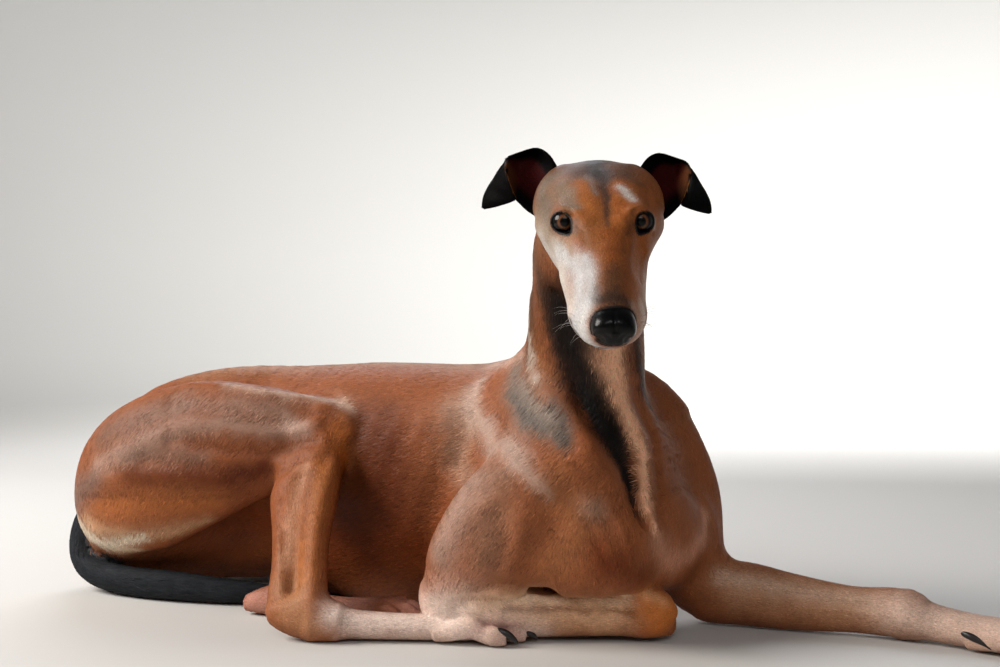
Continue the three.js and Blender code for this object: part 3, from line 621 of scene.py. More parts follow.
def level_surface(distance, low, high, step):
    """Surface nets: one point in each cell that the zero level crosses, at the mean of the crossings of its
    edges, and one quad across each edge that the level crosses, cut into two triangles.

    The field is read at the middle of each block of nodes first, and at its nodes only near the level."""
    block = 4
    axes = [a + step * np.arange(block * np.ceil((b - a) / step / block)) for a, b in zip(low, high)]
    nodes = np.stack(np.meshgrid(*axes, indexing="ij"), -1)
    middle = slice(block // 2, None, block)
    coarse = nodes[middle, middle, middle]
    rough = distance(coarse.reshape(-1, 3)).reshape(coarse.shape[:3])
    value = rough.repeat(block, 0).repeat(block, 1).repeat(block, 2)
    near = np.abs(value) < 1.5 * block * step
    value[near] = distance(nodes[near])
    inside = value < 0
    wide, deep, high = np.array(inside.shape) - 1
    corners = list(np.ndindex(2, 2, 2))
    count = sum(inside[i:i + wide, j:j + deep, k:k + high].astype(int) for i, j, k in corners)
    cells = np.argwhere((count > 0) & (count < 8))
    total = np.zeros((len(cells), 3))
    hits = np.zeros(len(cells))
    for corner in corners:
        for axis in range(3):
            if corner[axis]:
                continue
            a = tuple((cells + corner).T)
            b = tuple((cells + corner + np.eye(3, dtype=int)[axis]).T)
            crossing = inside[a] != inside[b]
            gap = np.where(crossing, value[a] - value[b], 1)
            point = nodes[a] + (value[a] / gap)[:, None] * (nodes[b] - nodes[a])
            total[crossing] += point[crossing]
            hits += crossing
    number = np.full((wide, deep, high), -1)
    number[tuple(cells.T)] = np.arange(len(cells))
    quads = []
    for axis in range(3):
        change = np.diff(inside.astype(int), axis=axis)
        edge = np.argwhere(change != 0)
        u, v = np.eye(3, dtype=int)[(axis + 1) % 3], np.eye(3, dtype=int)[(axis + 2) % 3]
        ring = np.stack([number[tuple((edge - back).T)] for back in (u + v, v, 0 * u, u)], 1)
        outward = change[tuple(edge.T)] < 0
        quads.append(np.where(outward[:, None], ring, ring[:, ::-1]))
    return total / hits[:, None], triangles_of(np.vstack(quads))


def split_long_edges(points, triangles, wanted):
    """Edges longer than 1.4 times what is wanted there are halved, and each triangle is cut to suit."""
    sides = np.stack([triangles, np.roll(triangles, -1, 1)], -1).reshape(-1, 2)
    edges, which = np.unique(np.sort(sides, 1), axis=0, return_inverse=True)
    which = which.reshape(-1, 3)
    middle = points[edges].mean(1)
    long = np.linalg.norm(points[edges[:, 0]] - points[edges[:, 1]], axis=1) > 1.4 * wanted(middle)
    name = np.full(len(edges), -1)
    name[long] = len(points) + np.arange(long.sum())
    cut = name[which]
    count = (cut >= 0).sum(1)
    out = [triangles[count == 0]]
    for turn in range(3):
        a, b, c = np.roll(triangles, -turn, 1).T
        ab, bc, ca = np.roll(cut, -turn, 1).T
        one = (count == 1) & (ab >= 0)
        two = (count == 2) & (ca < 0)
        out.append(np.stack([a, ab, c], 1)[one])
        out.append(np.stack([ab, b, c], 1)[one])
        out.append(np.stack([ab, b, bc], 1)[two])
        out.append(np.stack([a, ab, bc], 1)[two])
        out.append(np.stack([a, bc, c], 1)[two])
        if turn == 0:
            three = count == 3
            for corner in ((a, ab, ca), (ab, b, bc), (ca, bc, c), (ab, bc, ca)):
                out.append(np.stack(corner, 1)[three])
    return np.vstack([points, middle[long]]), np.vstack(out)


def vertex_normals(points, triangles):
    """Unit normals at the points: the sum of the area vectors of the triangles round each."""
    a, b, c = (points[triangles[:, i]] for i in range(3))
    area = np.cross(b - a, c - a)
    index = triangles.ravel()
    weights = np.repeat(area, 3, axis=0)
    total = [np.bincount(index, weights=weights[:, i], minlength=len(points)) for i in range(3)]
    return unit(np.stack(total, 1))


# The skin's edge length in mm: on the first net, at most in plain places, and in the fine places, where each
# length is followed by rows [x, y, z, reach].
NET_STEP = 6.0
PLAIN_EDGE = 9.0
FINE = [
    (4.6, np.array([[-430, -70, 120, 80], [-300, -76, 180, 90], [-140, -30, 200, 80]], float)),
    (4.6, np.array([[20, -80, 170, 90], [130, -110, 140, 80], [240, -50, 150, 80]], float)),
    (4.2, np.array([[190, -110, 330, 70], [190, -90, 220, 70]], float)),
    (3.4, np.array([[40, -100, 50, 45], [150, -90, 45, 40], [250, -55, 35, 40]], float)),
    (3.2, on_head([[-100, 0, -20, 78], [120, 0, -30, 60]])),
    (1.9, on_head([[20, 0, -10, 44], [124, 0, -36, 40]])),
    (0.95, on_head([[12, 33, 3, 17], [14, 34, 3, 17]])),
    (0.95, on_head([[12, -33, 3, 17], [14, -34, 3, 17]])),
    (3.4, np.array([[-140, -70, 130, 60], [-110, -136, 30, 50]], float)),
]
for x, y, turn, size in FEET.values():
    along = np.array([np.cos(np.radians(turn)), np.sin(np.radians(turn))])
    FINE.append((2.6, np.array([[x - 20 * size, y, 12, 44], [*(np.array([x, y]) + 40 * along), 10, 40]])))


def wanted_edge(points):
    """The longest edge wanted at each point: the least of the fine places that reach it."""
    out = np.full(len(points), PLAIN_EDGE)
    for length, path in FINE:
        place, gap = nearest_on_path(path[:, :3], points)
        reach = sample(path[:, 3:], place)[:, 0]
        out = np.where(gap < reach, np.minimum(out, length), out)
    return out


def build_skin():
    """The skin's points and triangles, coarse first and then finer on head and feet."""
    low = np.array([-520.0, -350.0, -10.0])
    high = np.array([660.0, 226.0, 500.0])
    points, triangles = level_surface(skin_distance, low, high, NET_STEP)
    points = settle(relax(points, triangles, 2), skin_distance)
    for _ in range(3):
        points, triangles = split_long_edges(points, triangles, wanted_edge)
        points = settle(relax(points, triangles, 1, 0.3), skin_distance)
    return points, triangles


def new_mesh(name, points, faces, material):
    """A smooth mesh object of one material, from points in mm on the dog's axes and faces of one size."""
    mesh = bpy.data.meshes.new(name)
    faces = np.asarray(faces)
    mesh.vertices.add(len(points))
    mesh.vertices.foreach_set("co", ((points + SHIFT) * MM).astype(np.float32).ravel())
    mesh.loops.add(faces.size)
    mesh.loops.foreach_set("vertex_index", faces.astype(np.int32).ravel())
    mesh.polygons.add(len(faces))
    mesh.polygons.foreach_set("loop_start", np.arange(0, faces.size, faces.shape[1], dtype=np.int32))
    mesh.polygons.foreach_set("use_smooth", np.ones(len(faces), bool))
    mesh.update(calc_edges=True)
    mesh.materials.append(material)
    piece = bpy.data.objects.new(name, mesh)
    bpy.context.scene.collection.objects.link(piece)
    return piece


def set_colour(piece, colours):
    """The coat's colour at every point, kept as a colour attribute."""
    layer = piece.data.attributes.new("coat_colour", "FLOAT_COLOR", "POINT")
    rgba = np.hstack([colours, np.ones((len(colours), 1))])
    layer.data.foreach_set("color", rgba.astype(np.float32).ravel())


def set_value(piece, name, values):
    """A number at every point, kept as an attribute."""
    layer = piece.data.attributes.new(name, "FLOAT", "POINT")
    layer.data.foreach_set("value", np.asarray(values, np.float32))


def set_chart(piece, spots, faces):
    """Each point's place on the flat chart, as the map that the coat is baked by."""
    layer = piece.data.uv_layers.new(name="OFBake")
    layer.data.foreach_set("uv", spots[faces.ravel()].astype(np.float32).ravel())


# Colours, as sRGB hex values.
FAWN = "8f5230"
RUSSET = "7a330a"
BLACK = "040303"
CREAM = "cbb294"
PINK = "ffbf98"
WHITE = "bebdbd"
GRIZZLE = "46301c"
ORANGE = "9c5526"
# The tail's black is lightened to slate grey as a painted sheen.
TAIL_BLACK_WITH_SHEEN = "292b2e"
LID_BLACK = "090606"
LIP_BLACK = "15100f"
NOSE_RIM = "15100e"
EAR_LINING = "360c0c"
EAR_FOLD = "5e3620"
EAR_ROOT = "4a3a30"
EAR_CREASE = "8a5a32"


def linear(colour):
    """An sRGB hex value as linear red, green, blue."""
    value = np.array([int(colour[i:i + 2], 16) for i in (0, 2, 4)]) / 255
    return np.where(value <= 0.04045, value / 12.92, ((value + 0.055) / 1.055) ** 2.4)


# Brush strokes of colour, the coat's markings and painted shade, sheen and highlights: colour, strength, rows
# [x, y, z, width]. Later strokes cover earlier ones.
MARKINGS_AND_PAINTED_LIGHT = [
    # The lower side, flank and brisket darker and redder, painted shade; the back paler on top, grizzled coat
    # and painted sheen.
    (RUSSET, 0.7, [[-300, 0, 90, 50], [-180, 10, 90, 60], [-60, -20, 80, 60], [20, -50, 80, 40]]),
    # Paler along the back's top: a grizzled coat with painted sheen.
    ("9a7250", 0.6, [[40, 30, 276, 26], [-60, 60, 280, 26], [-200, 70, 278, 26], [-340, 50, 256, 26]]),
    # Painted shade beside the knee and down the flank.
    ("4a1e08", 0.7, [[-104, -6, 214, 22], [-100, -14, 160, 30], [-104, 0, 110, 30]]),
    ("401804", 0.6, [[-92, -8, 208, 15], [-88, -14, 160, 20], [-90, -6, 100, 24], [-90, 0, 60, 26]]),
    ("431803", 0.7, [[-56, -22, 190, 24], [-60, -24, 150, 30], [-64, -10, 120, 26]]),
    ("5a2810", 0.6, [[-64, -14, 224, 20], [-50, -30, 180, 34], [-44, -30, 140, 36]]),
    ("6a3a1e", 0.55, [[0, -42, 200, 14], [-4, -42, 150, 18], [-12, -36, 100, 20]]),
    # Painted shade in a dark band across the thigh.
    ("4c1802", 0.8, [[-350, -80, 152, 13], [-290, -76, 152, 16], [-240, -68, 150, 17],
        [-196, -58, 160, 14]]),
    # Painted greyish sheen high on the thigh.
    ("6e574a", 0.6, [[-400, -60, 196, 26], [-350, -66, 214, 24], [-300, -60, 230, 20]]),
    ("80604f", 0.5, [[-240, -56, 236, 20], [-180, -44, 232, 18]]),
    ("a05c2c", 0.6, [[-400, -70, 116, 22], [-330, -78, 122, 24], [-260, -66, 124, 20]]),
    # Painted greyish sheen on the thigh's muscle bands and on the blade bone, painted highlights on the
    # thigh's rim and the knee, painted shade in its groove and along its back edge.
    ("a58a7b", 0.6, [[-398, -74, 160, 13], [-347, -79, 183, 14], [-300, -76, 202, 13], [-250, -68, 212, 12],
        [-200, -56, 206, 12], [-160, -44, 212, 12]]),
    ("9c7f70", 0.4, [[-300, -66, 236, 12], [-240, -60, 232, 12], [-180, -46, 226, 11]]),
    ("84695c", 0.6, [[-360, -80, 178, 12], [-300, -77, 178, 13], [-262, -72, 174, 10]]),
    # Painted shade, greyish, along the back edge of the thigh.
    ("6b5f59", 0.6, [[-474, -30, 92, 18], [-450, -56, 124, 22], [-410, -72, 146, 16]]),
    # Painted shade in the thigh's long groove.
    ("5f3320", 0.45, [[-282, -76, 190, 5], [-250, -70, 184, 5], [-223, -66, 180, 5], [-190, -55, 181, 5],
        [-163, -46, 186, 5], [-139, -45, 192, 4]]),
    # Painted highlight along the thigh's upper rim.
    ("d0b6a4", 0.55, [[-250, -42, 252, 6], [-187, -34, 245, 6], [-138, -16, 240, 8], [-112, -12, 224, 8]]),
    ("9c5520", 0.8, [[-116, -30, 214, 12], [-112, -34, 190, 14], [-108, -40, 170, 12]]),
    # Painted highlight on the knee.
    ("c4a392", 0.6, [[-172, -44, 214, 9], [-154, -44, 204, 10]]),
    # The shoulder's lit front, and painted sheen in pale patches over the blade, the withers, the ribs and
    # the upper arm.
    ("b18f78", 0.55, [[22, -36, 236, 22], [38, -49, 209, 20], [30, -48, 180, 18], [36, -80, 150, 20]]),
    ("a58c7e", 0.65, [[60, -104, 164, 24], [50, -114, 130, 26], [36, -114, 96, 22]]),
    ("8d6d58", 0.5, [[92, -112, 166, 26], [90, -118, 128, 26], [84, -118, 92, 20]]),
    ("c6b5a8", 0.5, [[46, -21, 256, 12], [47, -42, 230, 17], [68, -56, 211, 16], [86, -63, 196, 14],
        [114, -109, 186, 11], [132, -119, 168, 9], [146, -121, 154, 6]]),
    # Painted shade in the hollow behind the blade bone.
    ("64432d", 0.65, [[16, -38, 222, 11], [22, -44, 198, 11], [20, -48, 178, 9]]),
    ("c8ad9a", 0.5, [[60, 10, 274, 16], [96, -20, 262, 14], [104, -44, 284, 12]]),
    ("bb9a86", 0.5, [[180, -108, 146, 10], [188, -106, 140, 9]]),
    ("94603c", 0.5, [[150, -118, 170, 20], [176, -108, 120, 22], [150, -112, 90, 20]]),
    # The breeches are cream with a tan fringe above.
    ("c49a74", 0.65, [[-430, -56, 92, 12], [-380, -62, 78, 13], [-330, -60, 80, 12], [-270, -50, 96, 9]]),
    (CREAM, 0.95, [[-456, -40, 84, 11], [-436, -46, 64, 13], [-410, -46, 50, 13], [-372, -40, 48, 9]]),
    ("dccbb4", 0.95, [[-474, -20, 100, 10], [-466, -34, 80, 14], [-450, -48, 62, 16], [-424, -56, 52, 14],
        [-386, -62, 60, 9], [-350, -66, 70, 7]]),
    # Neck: grizzled sides, a painted highlight on the long muscle's ridge, a slate patch, and painted shadow
    # in the furrows on both sides of the throat stripe, over dark fur on the one side.
    (GRIZZLE, 0.85, [[110, -70, 390, 30], [112, -70, 340, 28], [116, -66, 300, 22]]),
    ("4c3826", 0.7, [[150, -116, 390, 20], [150, -108, 340, 17], [152, -100, 300, 13]]),
    ("8a5a38", 0.5, [[120, -70, 300, 14], [140, -86, 262, 14]]),
    # Painted highlight along the ridge of the neck's long muscle.
    ("bcaea0", 0.7, [[108, -70, 350, 4], [110, -70, 312, 5], [116, -71, 284, 6], [126, -77, 264, 6]]),
    ("746c62", 0.8, [[98, -54, 272, 10], [104, -64, 250, 17], [120, -80, 230, 20], [142, -92, 218, 18],
        [158, -98, 206, 10]]),
    ("55504b", 0.7, [[104, -66, 244, 10], [118, -80, 226, 11], [138, -92, 214, 8]]),
    ("4a4540", 0.8, [[150, -90, 236, 9], [160, -96, 214, 9], [166, -100, 200, 6]]),
    ("968a7e", 0.5, [[112, -72, 262, 8], [128, -84, 240, 9], [146, -92, 228, 7]]),
    # Dark fur deepened by painted shadow in the furrow before the long muscle.
    ("1c110b", 0.85, [[144, -120, 338, 16], [151, -110, 312, 17], [157, -104, 290, 16], [165, -98, 264, 14],
        [176, -92, 244, 12]]),
    ("120a06", 0.95, [[176, -122, 345, 30], [182, -112, 310, 30], [186, -102, 286, 28], [192, -92, 258, 22],
        [198, -84, 234, 17], [206, -82, 206, 13], [214, -82, 178, 9], [222, -84, 140, 5]]),
    ("1c110a", 0.95, [[162, -122, 350, 26], [168, -110, 310, 26], [176, -100, 286, 24], [184, -92, 258, 20],
        [192, -86, 234, 15], [202, -84, 206, 11], [212, -82, 178, 7], [222, -84, 140, 4]]),
    ("080504", 0.95, [[174, -96, 250, 16], [184, -92, 232, 13], [196, -88, 206, 10]]),
    ("060404", 0.9, [[160, -120, 335, 12], [163, -110, 308, 12], [168, -103, 284, 13], [177, -94, 258, 12],
        [186, -88, 236, 11], [195, -86, 210, 9], [206, -82, 184, 7], [216, -80, 158, 5],
        [224, -84, 130, 3.5]]),
    # Painted shadow in the groove beyond the windpipe.
    ("1c100a", 0.9, [[228, -96, 318, 14], [228, -72, 289, 12], [228, -38, 258, 10], [227, -12, 226, 6],
        [227, -16, 212, 4]]),
    (PINK, 1.0, [[207, -118, 322, 15], [206, -104, 294, 14], [208, -90, 270, 12.5], [211, -76, 246, 11],
        [218, -64, 216, 9], [225, -64, 186, 8], [231, -71, 160, 7], [233, -76, 140, 5.5],
        [233, -80, 116, 3.5]]),
    (PINK, 0.8, [[206, -104, 294, 9], [211, -76, 246, 7], [225, -64, 186, 5], [233, -76, 140, 4]]),
    ("c48b6f", 0.75, [[231, -76, 108, 10], [240, -62, 96, 14], [250, -36, 88, 15], [262, -10, 96, 12],
        [270, 14, 116, 8]]),
    # Painted shade under the breast, above the folded foreleg.
    ("642708", 0.75, [[190, -90, 100, 16], [206, -88, 90, 18], [220, -80, 80, 12]]),
    # The elbow's grey skin and the folds over it.
    ("6d5344", 0.7, [[24, -112, 44, 9], [38, -114, 44, 8]]),
    # The folded foreleg is pale tan with an orange wrist; painted shade darkens the grooves by its strings
    # and painted highlight pales its ridge and the wrist's top.
    ("e2b48c", 0.85, [[60, -100, 40, 18], [130, -84, 36, 22], [200, -68, 34, 22]]),
    # Painted highlight along the foreleg's ridge.
    ("f4d2b2", 0.7, [[96, -104, 50, 8], [160, -78, 48, 8], [214, -62, 47, 8]]),
    # Painted shade in the grooves by the strings.
    ("7a4424", 0.75, [[99, -102, 36, 4.5], [132, -89, 36, 4], [182, -75, 33, 4], [220, -67, 33, 3]]),
    ("cc7636", 0.9, [[234, -62, 40, 16], [254, -46, 30, 20], [246, -60, 20, 16]]),
    # Painted highlight on top of the wrist.
    ("f0b480", 0.6, [[232, -60, 48, 7], [246, -56, 44, 7]]),
    # The stretched foreleg fades to pale pink at the paw.
    ("b98a68", 0.75, [[320, 20, 44, 26], [400, 14, 36, 30], [450, 14, 32, 34]]),
    ("d9bba4", 0.5, [[300, 14, 56, 10], [380, 10, 50, 9], [450, 8, 42, 10]]),
    ("dbbba8", 0.95, [[476, 16, 30, 24], [530, 10, 22, 34], [600, -8, 16, 50]]),
    # The shank is tan and the foot pale, with pink toes; a painted highlight runs down the heel's string and
    # painted shade down the hollow before it.
    ("a5622f", 0.7, [[-124, -60, 150, 24], [-118, -100, 90, 22], [-108, -130, 50, 16]]),
    # Painted highlight down the heel's string.
    ("c08f70", 0.55, [[-142, -56, 160, 7], [-146, -80, 132, 6], [-142, -100, 104, 7], [-134, -120, 72, 8]]),
    # Painted shade in the hollow between the string and the shin.
    ("6a3518", 0.5, [[-130, -62, 160, 5], [-129, -86, 128, 5.5], [-124, -108, 96, 4]]),
    ("b5815c", 0.75, [[-124, -132, 50, 18], [-112, -144, 30, 20], [-92, -146, 20, 16]]),
    ("e6cdbf", 0.95, [[-70, -138, 26, 15], [-50, -130, 20, 22], [0, -116, 18, 26], [60, -98, 18, 34],
        [110, -84, 12, 26]]),
    ("a86a62", 0.6, [[66, -108, 12, 11], [78, -106, 18, 9], [92, -100, 12, 10]]),
    ("b57a6c", 0.5, [[92, -88, 24, 8], [110, -84, 14, 10]]),
    ("bd8674", 0.9, [[-206, -62, 16, 16], [-140, -62, 14, 18], [-60, -60, 14, 22], [10, -58, 12, 26]]),
]

# The head's markings, with painted shade at the ears' roots and in the creases under the eyes.
HEAD_MARKINGS_AND_SHADE = [
    ("94592f", 0.9, [[-90, 0, 10, 40], [-20, 0, 6, 48], [60, 0, -4, 40], [110, 0, -16, 30]]),
    ("6e5138", 0.8, [[-70, 46, -40, 26], [-20, 56, -44, 20]]),
    ("6e5138", 0.8, [[-70, -46, -40, 26], [-30, -56, -44, 20]]),
    # The slate crown and the dark line down the forehead.
    ("5c3a24", 0.85, [[-84, -26, 16, 16], [-66, -26, 18, 14], [-44, -20, 21, 10]]),
    ("5c3a24", 0.85, [[-84, 26, 16, 16], [-60, 26, 18, 14], [-40, 14, 22, 10]]),
    ("2b2929", 0.95, [[-100, 0, 8, 24], [-74, -3, 22, 21], [-48, -2, 24, 17], [-26, 1, 24, 10],
        [-8, 2, 21, 6]]),
    ("6d6b6a", 0.6, [[-70, -4, 22, 6], [-46, -5, 24, 6], [-26, -3, 24, 4]]),
    ("2c2522", 0.75, [[-50, 2, 24, 6], [-14, 3, 21, 4.5], [14, 3, 15, 4], [34, 3, 10, 4]]),
    # Dark slate coat, deepened by painted shade, where the ears join the head.
    *[("2a2624", 0.9, mirrored([[-54, 54, -20, 9], [-66, 47, 0, 9], [-84, 38, 8, 9]], side))
      for side in (1, -1)],
    # The dog's right side of the face is grey and white.
    ("6d6154", 0.9, [[-58, -42, 8, 14], [-44, -46, 0, 15], [-22, -48, 0, 15], [0, -46, -6, 12]]),
    ("7f6e5b", 0.75, [[-34, -34, 16, 12], [-10, -34, 16, 9], [6, -27, 15, 6]]),
    ("94836f", 0.8, [[-30, -54, -20, 15], [0, -46, -18, 15], [26, -38, -14, 13]]),
    ("c2bab2", 0.9, [[-24, -50, -40, 9], [-10, -50, -34, 12], [6, -46, -42, 13]]),
    ("b5aca4", 0.85, [[-8, -50, -26, 12], [6, -44, -34, 14], [28, -38, -34, 14], [50, -33, -30, 12]]),
    ("a89a8d", 0.7, [[14, -38, -14, 6], [30, -33, -12, 6], [46, -28, -10, 6]]),
    (WHITE, 0.9, [[30, -36, -18, 9], [54, -26, -12, 11], [78, -22, -12, 11], [100, -24, -20, 12],
        [112, -24, -30, 11]]),
    (WHITE, 0.8, [[62, -16, -3, 6], [80, -15, -4, 7], [98, -14, -8, 7], [108, -16, -16, 7]]),
    ("cfc6bc", 0.8, [[20, -44, -34, 14], [60, -32, -34, 15], [98, -28, -36, 14]]),
    ("9c7658", 0.7, [[26, -28, -4, 6], [36, -26, -8, 5], [46, -24, -10, 4]]),
    # Painted shade in the crease under the eye.
    ("7a5236", 0.7, [[28, -18, 8, 4.5], [42, -14, 5, 5], [56, -12, 2, 4]]),
    ("5e544c", 0.6, [[22, -22, 6, 4], [30, -22, 2, 4]]),
    # The dog's left side is orange brown, paler low on the muzzle, with a white spot over the brow.
    (ORANGE, 0.8, [[-30, 42, 8, 16], [4, 40, 4, 10], [36, 28, -4, 12], [80, 22, -12, 12],
        [100, 18, -16, 9]]),
    ("a9602e", 0.85, [[-24, 16, 22, 13], [10, 14, 16, 12], [34, 10, 9, 12]]),
    ("8f4c22", 0.8, [[44, 6, 8, 10], [84, 5, 1, 8]]),
    ("ad6632", 0.8, [[-26, -14, 22, 10], [0, -13, 19, 9], [20, -11, 13, 9]]),
    ("93826f", 0.6, [[-20, -28, 18, 7], [-4, -26, 17, 5], [8, -22, 14, 4]]),
    ("3a2a22", 0.85, [[-44, 1, 25, 8], [-24, 2, 24, 5], [-6, 3, 20, 3.4], [14, 3, 15, 2.8],
        [30, 3, 10, 2.2]]),
    ("8a8078", 0.7, [[-40, -12, 24, 4], [-24, -7, 24, 2.5], [-10, -5, 21, 1.8]]),
    ("4a3628", 0.6, [[-44, 22, 20, 8], [-34, 32, 14, 7]]),
    ("d8d0ca", 0.9, [[-22, 16, 22, 4], [-12, 21, 20, 5.5], [-6, 26, 18, 4]]),
    # Painted shade in the crease under the eye.
    ("4c2c1c", 0.7, [[24, 23, 6, 5], [36, 19, 4, 4]]),
    ("7e4526", 0.5, [[44, 22, 0, 7], [80, 14, -6, 6], [100, 12, -10, 6]]),
    ("c09a84", 0.7, [[60, 30, -26, 10], [90, 29, -28, 11], [110, 26, -32, 10]]),
    # White lips, and the bridge darkening to the nose.
    (WHITE, 0.95, [[110, -24, -36, 9], [119, -18, -44, 8], [126, -4, -50, 6], [126, 6, -50, 4]]),
    (WHITE, 0.95, [[110, -14, -14, 6], [116, -18, -26, 7], [120, -16, -38, 7], [124, -6, -46, 6]]),
    ("cbb0a0", 0.9, [[104, 27, -26, 7], [114, 24, -34, 7], [121, 18, -44, 6], [125, 10, -49, 5]]),
    ("6a4630", 0.6, [[84, 4, 1, 7], [98, 4, -4, 9], [104, 4, -7, 9]]),
    ("5a3a28", 0.7, [[92, 3, -1, 8], [104, 3, -5, 9], [112, 4, -8, 9]]),
    ("3a2e28", 0.6, [[116, -8, -13, 5], [114, 3, -9, 8], [116, 13, -13, 5], [120, 19, -22, 3.5]]),
    ("6b6663", 0.6, [[104, -9, -8, 5], [112, -11, -12, 5]]),
    ("8c776a", 0.8, [[118, 0, -62, 10], [90, 0, -64, 16], [60, 0, -62, 20], [20, 0, -60, 24]]),
    # Pale skin round the leather, whiter on the dog's right and below.
    ("cfcac6", 0.95, [[116, -17, -15, 6], [120, -21, -26, 7], [122, -18, -38, 7], [125, -9, -46, 6],
        [127, 2, -48, 6]]),
    ("a98672", 0.9, [[116, 19, -16, 5], [121, 21, -28, 6], [122, 17, -39, 6], [126, 9, -46, 5]]),
    ("3a2c25", 0.6, [[116, -9, -10, 5], [116, 3, -8, 7], [116, 13, -10, 5]]),
    # The line of the closed mouth.
    *[(LIP_BLACK, 0.95, [[126, 3, -47, 1.8], *mirrored([
        [120, 15, -49, 1.6], [104, 25, -52, 1.5], [76, 29, -53, 1.6], [48, 32, -53, 1.8],
        [28, 34, -51, 2]], side)]) for side in (1, -1)],
]
# Black tear lines at the eyes' inner corners: rows [outward, up, along the gaze, width].
TEAR_LINE = [[-7, -5, 10, 4.2], [-11, -8, 9, 3.4], [-15, -11, 7, 2.2]]

PAINT = [(linear(what[0]), *what[1:]) for what in [
    (*stroke[:2], stroke[2], 1.0) for stroke in MARKINGS_AND_PAINTED_LIGHT] + [
    (*stroke[:2], on_head(stroke[2]), 0.45) for stroke in HEAD_MARKINGS_AND_SHADE] + [
    ("0d0a09", 0.95, around_eye(side, TEAR_LINE), 0.2) for side in (-1, 1)]]
PAINT = laid_on(
    skin_distance, [((colour, strength, wobble), rows) for colour, strength, rows, wobble in PAINT])


def mix(colour, other, share):
    """Colours mixed with another by a share at each point."""
    return colour * (1 - share[:, None]) + other * share[:, None]


def coat_colour(points):
    """The coat's colour at each point: strokes of markings, painted shade, sheen and highlights laid over
    fawn with their edges broken by noise, the tail black lightened to slate grey as a painted sheen, the
    whole mottled by a few per cent, and the rims of lids and nose leather black."""
    shake = [noise(points, 14, seed) * 4 + noise(points, 4, seed + 5) * 2 for seed in (1, 2, 3)]
    shake = np.stack(shake, 1)
    colour = np.tile(linear(FAWN), (len(points), 1))
    for (paint, strength, wobble), path in PAINT:
        colour = mix(colour, paint, strength * brush(path, points + wobble * shake))
    on_tail = ease((14 - tube_distance(PARTS["tail"], points + shake)) / 8)
    others = np.minimum(tube_distance(PARTS["trunk"], points), tube_distance(PARTS["thigh_right"], points))
    on_tail = on_tail * ease((others + 3 + 30 * (points[:, 2] < 60)) / 12)
    # The tail, black lightened to slate grey as a painted sheen.
    colour = mix(colour, linear(TAIL_BLACK_WITH_SHEEN), on_tail)
    mottle = 1 + 0.08 * noise(points, 24, 11) + 0.08 * noise(points, 7, 12) + 0.05 * noise(points, 2.5, 13)
    colour = colour * mottle[:, None]
    for side in (-1, 1):
        gap, depth = opening_distance(points, side)
        rim = ease((3.0 - gap) / 1.4) * (depth > 0) * (depth < 26)
        colour = mix(colour, linear(LID_BLACK), rim)
    return mix(colour, linear(NOSE_RIM), ease((2.4 - nose_distance(points)) / 1.6))


def gloss_of(points):
    """How bare and moist the skin is: 1 on the lid rims, 0 in the coat."""
    out = np.zeros(len(points))
    for side in (-1, 1):
        gap, depth = opening_distance(points, side)
        out = np.maximum(out, ease((0.8 - gap) / 1.0) * (depth > 5) * (depth < 26))
    return out


def add_node(tree, kind, inputs=None, **settings):
    """A node with its settings. Inputs are values, or other nodes' outputs to be linked."""
    node = tree.nodes.new(kind)
    for name, value in settings.items():
        setattr(node, name, value)
    for name, value in (inputs or {}).items():
        if isinstance(value, bpy.types.NodeSocket):
            tree.links.new(value, node.inputs[name])
        else:
            node.inputs[name].default_value = value
    return node


def new_material(name):
    """An empty material and its node tree."""
    material = bpy.data.materials.new(name)
    material.use_nodes = True
    material.node_tree.nodes.clear()
    return material, material.node_tree


def add_shader(tree, inputs):
    """The principled shader with its inputs, linked to the material's output."""
    shader = add_node(tree, "ShaderNodeBsdfPrincipled", inputs)
    output = add_node(tree, "ShaderNodeOutputMaterial")
    tree.links.new(shader.outputs[0], output.inputs["Surface"])


def per_mm(size):
    """A texture scale from a real size in mm."""
    return 1 / (size * MM)


def short_coat(name, specular, ior):
    """Short dog hair on skin: satin, flecked hair by hair and finely rough."""
    material, tree = new_material(name)
    place = add_node(tree, "ShaderNodeTexCoord").outputs["Object"]
    paint = add_node(tree, "ShaderNodeAttribute", attribute_name="coat_colour").outputs["Color"]
    gloss = add_node(tree, "ShaderNodeAttribute", attribute_name="gloss").outputs["Fac"]
    fleck = add_node(tree, "ShaderNodeTexNoise", {"Vector": place, "Scale": per_mm(1.6), "Detail": 3.0})
    shade = add_node(tree, "ShaderNodeMapRange", {
        "Value": fleck.outputs["Fac"], "From Min": 0.3, "From Max": 0.7, "To Min": 0.86, "To Max": 1.12})
    colour = add_node(
        tree, "ShaderNodeVectorMath", {0: paint, "Scale": shade.outputs["Result"]}, operation="SCALE")
    rough = add_node(tree, "ShaderNodeMapRange", {"Value": gloss, "To Min": 0.5, "To Max": 0.32})
    bump = add_node(tree, "ShaderNodeBump", {
        "Height": fleck.outputs["Fac"], "Strength": 0.5, "Distance": 0.35 * MM})
    add_shader(tree, {
        "Base Color": colour.outputs["Vector"], "Roughness": rough.outputs["Result"],
        "Normal": bump.outputs["Normal"], "IOR": ior, "Specular IOR Level": specular})
    return material


